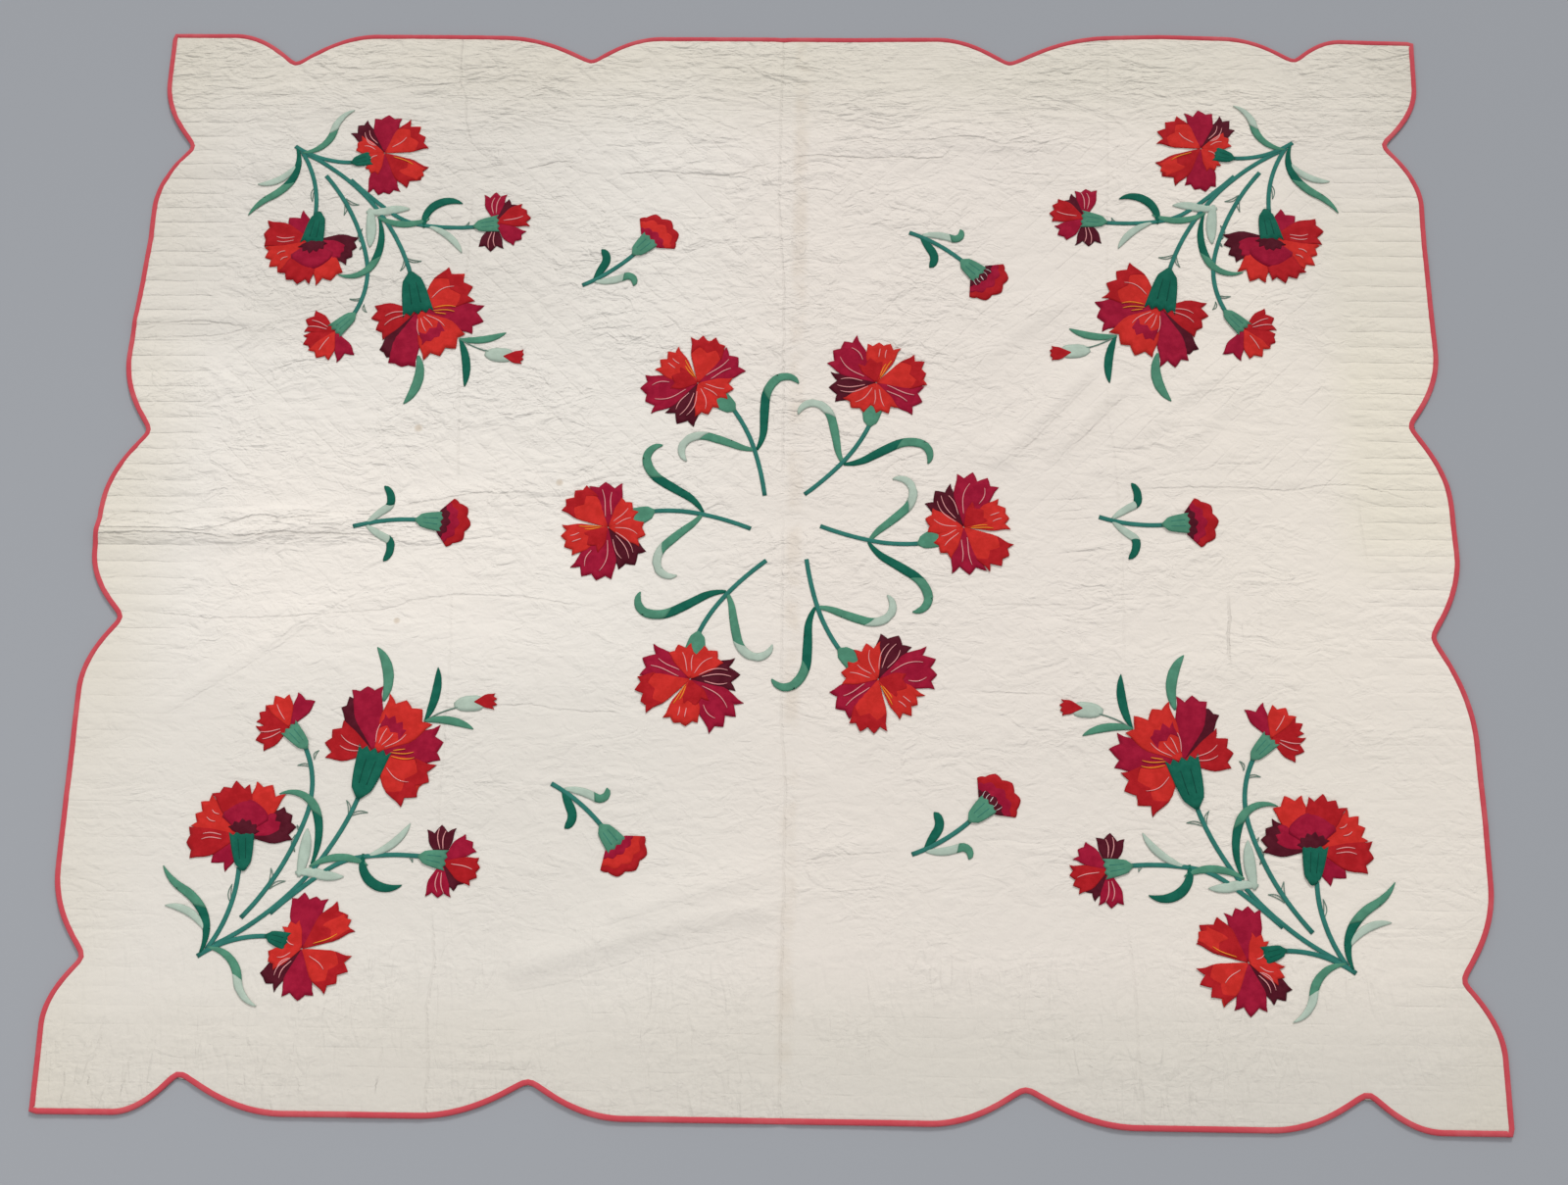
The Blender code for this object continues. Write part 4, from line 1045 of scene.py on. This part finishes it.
def toOutline(s, t):
    # places of the straight grid, drawn out to the scalloped edge
    x, y = s.copy(), t.copy()
    halfX, halfY = sheetLook["halfX"], sheetLook["halfY"]
    inX, inY, inset = sheetLook["warpX"], sheetLook["warpY"], sheetLook["inset"]
    for _ in range(8):
        outX = np.where(s > 0, sideOut("right", y), sideOut("left", y)) - inset
        outY = np.where(t > 0, sideOut("top", x), sideOut("bottom", x)) - inset
        pastX = np.clip(np.abs(s) - inX, 0, None) * (outX - inX) / (halfX - inX)
        pastY = np.clip(np.abs(t) - inY, 0, None) * (outY - inY) / (halfY - inY)
        x = np.sign(s) * (np.minimum(np.abs(s), inX) + pastX)
        y = np.sign(t) * (np.minimum(np.abs(t), inY) + pastY)
    return x, y


def motifDistance(x, y):
    # distance to the nearest applique outline, below zero under the patches
    tree = BVHTree.FromPolygons(*flatMotifs())
    points = [p for piece in motifPieces for p in rimPoints(piece)]
    near = kdtree.KDTree(len(points))
    for i, p in enumerate(points):
        near.insert((p[0], p[1], 0), i)
    near.balance()
    away = np.array([near.find((px, py, 0))[2] for px, py in zip(x, y)])
    under = [tree.ray_cast(Vector((px, py, 1)), Vector((0, 0, -1)))[0] is not None if d < 0.06 else False
             for px, py, d in zip(x, y, away)]
    return np.where(under, -away, away)


def flatMotifs():
    # every patch's faces in one list for casting rays
    verts, faces = [], []
    for piece in motifPieces:
        first = len(verts)
        verts += [v.co[:] for v in piece.data.vertices]
        faces += [[first + i for i in face.vertices] for face in piece.data.polygons]
    return verts, faces


def rimPoints(piece):
    values = np.zeros(len(piece.data.vertices), np.float32)
    piece.data.attributes["rim"].data.foreach_get("value", values)
    return [piece.data.vertices[int(i)].co for i in np.flatnonzero(values > 0.98)]


def quiltingRelief(x, y):
    # soft pillows between the stitch lines: diamonds in the field, squares in the border
    x, y = x + 0.003 * softNoise(x, y, 0.05, 0.05, 41), y + 0.003 * softNoise(x, y, 0.05, 0.05, 42)
    a, b = (x + y) / sheetLook["fieldPitch"], (x - y) / sheetLook["fieldPitch"]
    leftShare = softStep(0.5 - x / 0.4)
    first = np.abs(np.sin(math.pi * a)) ** 0.8 * (0.35 + 0.65 * leftShare)
    second = np.abs(np.sin(math.pi * b)) ** 0.8 * (1 - 0.65 * leftShare)
    c, d = x / sheetLook["borderPitch"], (y - sheetLook["rowShift"]) / sheetLook["borderPitch"]
    border = 0.3 * np.abs(np.sin(math.pi * c)) ** 0.8 + 0.7 * np.abs(np.sin(math.pi * d)) ** 0.8
    # the two meet along an uneven line
    past = np.maximum(np.abs(x) - sheetLook["borderX"], np.abs(y) - sheetLook["borderY"])
    inBorder = softStep((past + 0.025 + 0.025 * softNoise(x, y, 0.10, 0.04, 43)) / 0.05)
    worn = 0.65 + 0.45 * softNoise(x, y, 0.16, 0.12, 31)
    sides = 0.60 + 0.65 * softStep((y + 0.45) / 0.5)
    farther = 0.45 + 0.95 * softStep((y + 0.20) / 0.40) * softStep((0.80 - x) / 0.9)
    return (border * sides * inBorder + (first + second) * 0.8 * farther * (1 - inBorder) - 0.5) * worn


def creaseChannels():
    # lines that run close to each other go to different channels, so that their distances never mix
    channels = [[] for _ in range(6)]
    for crisp, *line in creases:
        line = metres(tuple(line))
        spots = np.array([np.add(a, np.subtract(b, a) * t) for a, b in zip(line, line[1:])
                          for t in (0, 0.25, 0.5, 0.75, 1)])
        gaps = []
        for channel in channels:
            near = [np.abs(nearestOn(other, *spots.T)[0]).min() for _, other in channel]
            gaps.append(min(near + [sheetLook["creaseApart"]]))
        channels[gaps.index(max(gaps))].append((crisp, line))
    return channels


def creaseMarks(x, y):
    # for each channel, the signed distance to its nearest crease and how strongly that shows
    marks = []
    for channel in creaseChannels():
        best = side = np.full(x.shape, sheetLook["creaseNone"])
        weight = np.zeros(x.shape)
        for crisp, line in channel:
            signed, fromEnd = nearestOn(line, x, y)
            within = 1 - softStep(np.abs(signed) / sheetLook["creaseReach"] - 1)
            shows = crisp * endFade(x, y, fromEnd) * within
            nearer = np.abs(signed) < best
            side = np.where(nearer, signed, side)
            weight = np.where(nearer, shows, weight)
            best = np.minimum(best, np.abs(signed))
        marks.append((side, weight))
    return marks


def makeQuilt():
    bm = bmesh.new()
    near = bm.verts.layers.float.new("motif")
    names = ("creaseSideA", "creaseSideB", "creaseShowA", "creaseShowB")
    sideA, sideB, showA, showB = (bm.verts.layers.float_vector.new(name) for name in names)
    halfX, halfY = sheetLook["halfX"], sheetLook["halfY"]
    stretch = Matrix.Diagonal((halfX, halfY, 1, 1))
    top, under = (
        bmesh.ops.create_grid(bm, x_segments=across, y_segments=along, size=1.0, matrix=stretch)["verts"]
        for across, along in (sheetLook["cells"], sheetLook["underCells"]))
    bmesh.ops.reverse_faces(bm, faces=list({f for v in under for f in v.link_faces}))
    flat = np.array([v.co[:2] for v in top])
    x, y = toOutline(flat[:, 0], flat[:, 1])
    away = motifDistance(x, y)
    clear = softStep((away - 0.002) / sheetLook["clearance"])
    fromEdge = np.minimum(halfX - np.abs(flat[:, 0]), halfY - np.abs(flat[:, 1]))
    inside = softStep(fromEdge / clothLook["edgeReach"])
    z = clothHeight(x, y) + sheetLook["relief"] * quiltingRelief(x, y) * clear * inside
    z -= sheetLook["sunk"] * (1 - softStep(away / 0.006)) + clothLook["edgeDrop"] * (1 - inside)
    sides, shows = zip(*creaseMarks(x, y))
    sides, shows = np.array(sides).T, np.array(shows).T
    for v, px, py, pz, d, side, show in zip(top, x, y, z, away, sides, shows):
        v.co = (px, py, pz)
        v[near] = min(d, sheetLook["motifNone"])
        v[sideA], v[sideB] = side[:3], side[3:]
        v[showA], v[showB] = show[:3], show[3:]
    flat = np.array([v.co[:2] for v in under])
    x, y = toOutline(flat[:, 0], flat[:, 1])
    for v, px, py, pz in zip(under, x, y, liftOf(x, y)):
        v.co = (px, py, pz)
        v[near] = sheetLook["motifNone"]
        v[sideA] = v[sideB] = [sheetLook["creaseNone"]] * 3
    bmesh.ops.bridge_loops(bm, edges=[e for e in bm.edges if e.is_boundary])
    return finishPiece("quilt", bm)


def creaseShade(place, wobble):
    # the thin valleys of the folds, 0 to 1
    deep = None
    for letter in "AB":
        side, show = (place.attribute(name + letter, 1) for name in ("creaseSide", "creaseShow"))
        for i in range(3):
            valley = abs(side.part(i) + wobble).step(0.0002, 0.0034, 1.0, 0.0) * show.part(i)
            deep = valley if deep is None else deep.highest(valley)
    return deep


# how high each part of the surface stands, in millimetres
bumpLook = {
    "hills": 4.6,
    "pleats": 3.2,
    "broad": 5.5,
    "upright": 5.2,
    "crumpled": 1.6,
    "fine": 2.0,
    "pillow": 0.6,
    "stripedGroove": 0.5,
    "groove": 0.6,
    "weave": 0.05,
    "fold": 1.7,
}


def quiltMaterial():
    # the bounds in step() are places on the quilt in metres, or values of a noise from 0 to 1
    material, place = newMaterial("quilted_cotton")
    x, y = place.part(0), place.part(1)
    motif = place.attribute("motif", 2)
    field, border = sheetLook["fieldPitch"], sheetLook["borderPitch"]
    # the stitching wanders a few millimetres where the cloth has drawn in
    wanderX = x + (place.noise((24, 24, 24), 1.0, 0.5) - 0.5) * 0.010
    wanderY = y + (place.noise((21, 26, 24), 1.0, 0.5, 0.3) - 0.5) * 0.010
    first = (wanderX + wanderY).toNearest(field) * math.sqrt(0.5)
    second = (wanderX - wanderY).toNearest(field) * math.sqrt(0.5)
    columns = wanderX.toNearest(border)
    rows = (y - sheetLook["rowShift"] + (wanderY - y) * 0.5).toNearest(border)
    intoBorder = (abs(x) - sheetLook["borderX"]).highest(abs(y) - sheetLook["borderY"])
    inBorder = (intoBorder + (place.noise((14, 40, 20), 2.0, 0.6) - 0.5) * 0.12).step(-0.02, 0.02)
    bandStart = (place.noise((6, 22, 9), 2.0, 0.6) - 0.5) * 0.20
    sideBand = (abs(x) + bandStart).step(0.92, 1.03) * abs(y).step(0.92, 0.80)
    striped = sideBand * y.step(-0.40, 0.10, 0.30, 1.0)
    leftSide = x.step(-0.15, 0.25, 1.0, 0.0)
    clear = motif.step(0.006, 0.010)
    diagonals = (first.step(0.0, 0.0026, 1.0, 0.0) * (leftSide * 0.65 + 0.35)).highest(
        second.step(0.0, 0.0026, 1.0, 0.0) * (1.0 - leftSide * 0.65))
    broken = place.noise((16, 60, 20), 2.0, 0.5).step(0.30, 0.56, 0.15, 1.0)
    squares = rows.step(0.0, 0.0024, 1.0, 0.0) * broken
    squares = squares.highest(columns.step(0.0, 0.0022, 1.0, 0.0) * 0.35 * broken)
    # the field's stitching fades out before the border's begins
    between = intoBorder.step(-0.05, -0.005, 1.0, 0.0)
    rightBorder = x.step(0.0, 0.9, 1.0, 0.8)
    seam = (diagonals * (1 - inBorder) * between * y.step(-0.25, 0.20, 0.35, 1.0)
            + squares * inBorder * rightBorder) * clear
    echo = abs(motif - 0.0065).step(0.0004, 0.0022, 1.0, 0.0)
    shown = place.noise((11, 13, 9), 2.0, 0.5).step(0.36, 0.66, 0.1, 1.0)
    groove = seam.highest(echo * 0.35) * shown.highest(striped * 0.85)
    pillow = rows.step(0.0, 0.008) * striped * inBorder * broken
    # crinkles lie at all angles in the field and sideways along the far border, with few in the near half
    far = y.step(-0.35, 0.30, 0.50, 1.0)
    patch = place.noise((5, 7, 6), 2.0, 0.5).step(0.3, 0.7, 0.5, 1.3)
    ridgeBand = abs(y + 0.005).step(0.02, 0.05, 1.0, 0.0) * x.step(-0.30, -0.60)
    farBorder = y.step(0.66, 0.84)
    nearBorder = y.step(-0.58, -0.78)
    rightField = x.step(0.15, 0.45) * (1 - farBorder) * y.step(-0.12, 0.06)
    crumpled = place.noise((26, 40, 30), 3.0, 0.55, 0.8)
    drawn = place.noise((16, 56, 20), 3.0, 0.55, 0.6)
    hanging = place.noise((46, 13, 20), 2.0, 0.55, 0.6)
    fine = place.noise((80, 110, 60), 2.0, 0.55, 0.4)
    # rounded hills that meet in sharp valleys
    hills, pleats, upright = abs(crumpled * 2 - 1), abs(drawn * 2 - 1), abs(hanging * 2 - 1)
    broad = abs(place.noise((9, 17, 12), 2.0, 0.5, 1.2) * 2 - 1)
    sideways = farBorder.highest(ridgeBand) * 0.65 + 0.30
    flatter = 1 - nearBorder * 0.5
    crinkle = hills * bumpLook["hills"] * (1.1 - sideways) + pleats * bumpLook["pleats"] * sideways
    crinkle = (crinkle + broad * bumpLook["broad"]) * flatter + upright * nearBorder * bumpLook["upright"]
    crinkle = crinkle + crumpled * bumpLook["crumpled"] + fine * bumpLook["fine"]
    calm = (1 - rightField * 0.42) * (1 - sideBand * 0.30) * (1 + farBorder * 0.30)
    fold = creaseShade(place, (fine - 0.5) * 0.004 + (crumpled - 0.5) * 0.008)
    height = crinkle * far * calm * patch.highest(ridgeBand * 1.8) + pillow * bumpLook["pillow"]
    height = height - groove * (striped * bumpLook["stripedGroove"] + far * bumpLook["groove"])
    height = height + weaveOf(place, sheetLook["weavePitch"]) * bumpLook["weave"] - fold * bumpLook["fold"]
    # yellowed along the far and near edges and darker along the left edge, warmer on the right, and painted
    # light to the left of the near half
    edge = (abs(y) - 0.72).highest(abs(x) * 0.6 + abs(y) * 0.6 - 1.0).highest(-0.96 - x).step(0.0, 0.2)
    patchy = place.noise((2.2, 2.6, 2.0), 3.0, 0.55)
    yellowed = x.step(0.92, 1.02) * abs(y - 0.28).step(0.25, 0.42, 0.5, 0.0)
    lit = x.step(-0.1, -0.6) * y.step(0.30, 0.02) * y.step(-0.36, -0.12) * x.step(-1.05, -0.85) * (1 - edge)
    # painted shade: darker in the two upper corners of the field, in the near left and along the near edge
    upper = x.step(-0.15, -0.60).highest(x.step(0.82, 0.96) * 0.7)
    upper = y.step(0.28, 0.42) * y.step(0.74, 0.92, 1.0, 0.4) * upper
    lower = y.step(-0.15, -0.42) * x.step(0.10, -0.40, 0.22, 0.47)
    corner = (abs(x) * 0.7 + abs(y) * 0.7 - 1.3).step(0.0, 0.2, 0.0, 0.7)
    strip = abs(x - 0.037).step(0.004, 0.020, 1.0, 0.0)
    blotch = place.noise((9, 13, 9), 3.0, 0.6).step(0.36, 0.64)
    coats = [
        (x.step(-0.30, 0.10), "middle"),
        (x.step(0.40, 0.95), "warm"),
        (edge * patchy.step(0.25, 0.6, 0.6, 1.0), "border"),
        (yellowed, "yellowed"),
        # painted light
        (lit * 0.8, "paintedLight"),
        # painted shade
        ((upper * 0.48).highest(lower).highest(y.step(-0.62, -0.97, 0.0, 0.9)), "paintedShade"),
        # darker outer corners: partly yellowing, partly painted shade
        (corner, "corner"),
        (strip * blotch * 0.16, "stain"),
    ]
    for spotX, spotY, size in sheetLook["spots"]:
        aside = (x - spotX).squared() + (y - spotY).squared()
        coats.append((aside.step(0.0, size ** 2, 1.0, 0.0) * 0.4, "stain"))
    coats += [
        # painted shade in the stitch grooves
        (groove * 0.05, "groove"),
        # painted shade in the sharp valleys of the crinkles
        (pleats.step(0.0, 0.10, 0.06, 0.0) * sideways * far, "groove"),
        # painted shade in the crease valleys, with some dirt along the folds
        (fold * 0.15, "fold"),
    ]
    base = tint(*sheetLook["field"])
    for strength, name in coats:
        base = strength.mixColour(base, tint(*sheetLook[name]))
    return finishMaterial(material, base, height, sheetLook)


quilt = makeQuilt()
quilt.data.materials.append(quiltMaterial())
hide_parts("quilt_body")
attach(quilt, "root")
print("quilt done", len(quilt.data.polygons))

# binding

bindingLook = {
    "wide": 0.0095,
    "sides": 12,
    "proud": 0.0009,
    "colour": (200, 70, 80),
    "worn": (214, 110, 112),
    "dark": (150, 40, 52),
    "weavePitch": 0.0005,
    "weaveDepth": 0.08,         # in millimetres, like the next
    "puckerDepth": 0.5,
    "roughness": 0.85,
    "sheen": 0.15,
    "specular": 0.25,
}


def makeBinding(outline):
    # a rounded strip wrapped round the edge, closed on itself
    outward = outwardOf(outline)
    middle = outline - outward * bindingLook["wide"] / 2
    bm = bmesh.new()
    rings, sides = len(outline), bindingLook["sides"]
    made = bmesh.ops.create_grid(bm, x_segments=rings, y_segments=sides, size=1.0)["verts"]
    u, v = (np.array([(p.co.x, p.co.y) for p in made]) / 2 + 0.5).T
    ring = np.rint(u * rings).astype(int) % rings
    angle = 2 * math.pi * v
    low = liftOf(middle[:, 0], middle[:, 1])
    inner = outline - outward * bindingLook["wide"]
    high = clothHeight(inner[:, 0], inner[:, 1]) + bindingLook["proud"]
    c, s = np.cos(angle), np.sin(angle)
    across = np.sign(c) * np.abs(c) ** 0.75 * bindingLook["wide"] / 2
    up = (np.sign(s) * np.abs(s) ** 0.75 + 1) / 2
    pucker = 0.00018 * np.sin(ring * 1.9) + 0.00015 * np.sin(ring * 0.77)
    x = middle[ring, 0] + outward[ring, 0] * across
    y = middle[ring, 1] + outward[ring, 1] * across
    z = low[ring] + (high[ring] - low[ring]) * up + pucker * up
    for p, px, py, pz in zip(made, x, y, z):
        p.co = (px, py, pz)
    bmesh.ops.remove_doubles(bm, verts=bm.verts[:], dist=1e-6)
    bmesh.ops.recalc_face_normals(bm, faces=bm.faces[:])
    return finishPiece("bindingStrip", bm)


def bindingMaterial():
    material, place = newMaterial("coral_binding")
    plain, worn, dark = (tint(*bindingLook[name]) for name in ("colour", "worn", "dark"))
    weave = weaveOf(place, bindingLook["weavePitch"])
    base = place.noise((14, 14, 14), 4.0, 0.6).step(0.45, 0.75, 0.0, 0.45).mixColour(plain, worn)
    base = (weave * 0.10).mixColour(base, dark)
    fine = place.noise((240, 240, 240), 2.0, 0.6)
    height = weave * bindingLook["weaveDepth"] + fine * bindingLook["puckerDepth"]
    return finishMaterial(material, base, height, bindingLook)


bindingStrip = makeBinding(quiltOutline())
bindingStrip.data.materials.append(bindingMaterial())
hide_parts("binding")
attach(bindingStrip, "root")
print("binding done")

# floor, light and camera

stageLook = {
    "floorColour": (160, 162, 166),
    "floorSize": 9.0,
    "floorBelow": 0.0002,
    "roughness": 0.95,          # of the floor, like the next two
    "sheen": 0.0,
    "specular": 0.1,
    "skyColour": (0.95, 0.97, 1.0, 1),
    "skyStrength": 0.60,
    "keyStrength": 1.55,
    "keyAngle": 14.0,
    "keyPlace": (0.7, 3.4, 2.5),
    "fillEnergy": 14.0,
    "fillPlace": (-1.3, -0.9, 2.6),
    "fillSize": 3.0,
}


def makeFloor():
    bm = bmesh.new()
    bmesh.ops.create_grid(bm, x_segments=1, y_segments=1, size=stageLook["floorSize"])
    bmesh.ops.translate(bm, verts=bm.verts[:], vec=(0, 0, -stageLook["floorBelow"]))
    floor = finishPiece("floor", bm)
    colour = tint(*stageLook["floorColour"])
    floor.data.materials.append(finishMaterial(newMaterial("floorPaint")[0], colour, None, stageLook))


def addLight(name, kind, place, strength, **settings):
    lamp = bpy.data.lights.new(name, kind)
    lamp.energy = strength
    for key, value in settings.items():
        setattr(lamp, key, value)
    light = bpy.data.objects.new(name, lamp)
    light.location = place
    light.rotation_euler = (Vector((0, 0, 0)) - Vector(place)).to_track_quat("-Z", "Y").to_euler()
    scene.collection.objects.link(light)


makeFloor()
addLight("keyLight", "SUN", stageLook["keyPlace"], stageLook["keyStrength"],
         angle=math.radians(stageLook["keyAngle"]))
addLight("fillLight", "AREA", stageLook["fillPlace"], stageLook["fillEnergy"], size=stageLook["fillSize"])
world = bpy.data.worlds.new("studio")
world.use_nodes = True
plug(world.node_tree, world.node_tree.nodes["Background"],
     {"Color": stageLook["skyColour"], "Strength": stageLook["skyStrength"]})
scene.world = world
scene.view_settings.view_transform = "Standard"

# the photograph's own view: turns in radians, and its shift in half widths of the quilt
cameraLook = {
    "turns": (-0.3383, -0.0253, -0.0193),
    "shift": (-0.0047, 0.0994, -2.9142),
    "halfWidth": 1.143,
    "middle": (0.014, 0.003, 0.005),
    "lens": 45.0,
    "sensor": 36.0,
}
turn = Matrix.Identity(3)
for angle, axis in zip(cameraLook["turns"], "XYZ"):
    turn = turn @ Matrix.Rotation(angle, 3, axis)
lens = bpy.data.cameras.new("camera")
lens.lens = cameraLook["lens"]
lens.sensor_width = cameraLook["sensor"]
lens.sensor_fit = "HORIZONTAL"
camera = bpy.data.objects.new("camera", lens)
back = turn.transposed()
spot = -(back @ Vector(cameraLook["shift"])) * cameraLook["halfWidth"] + Vector(cameraLook["middle"])
camera.matrix_world = Matrix.Translation(spot) @ back.to_4x4()
scene.collection.objects.link(camera)
scene.camera = camera
print("stage done")
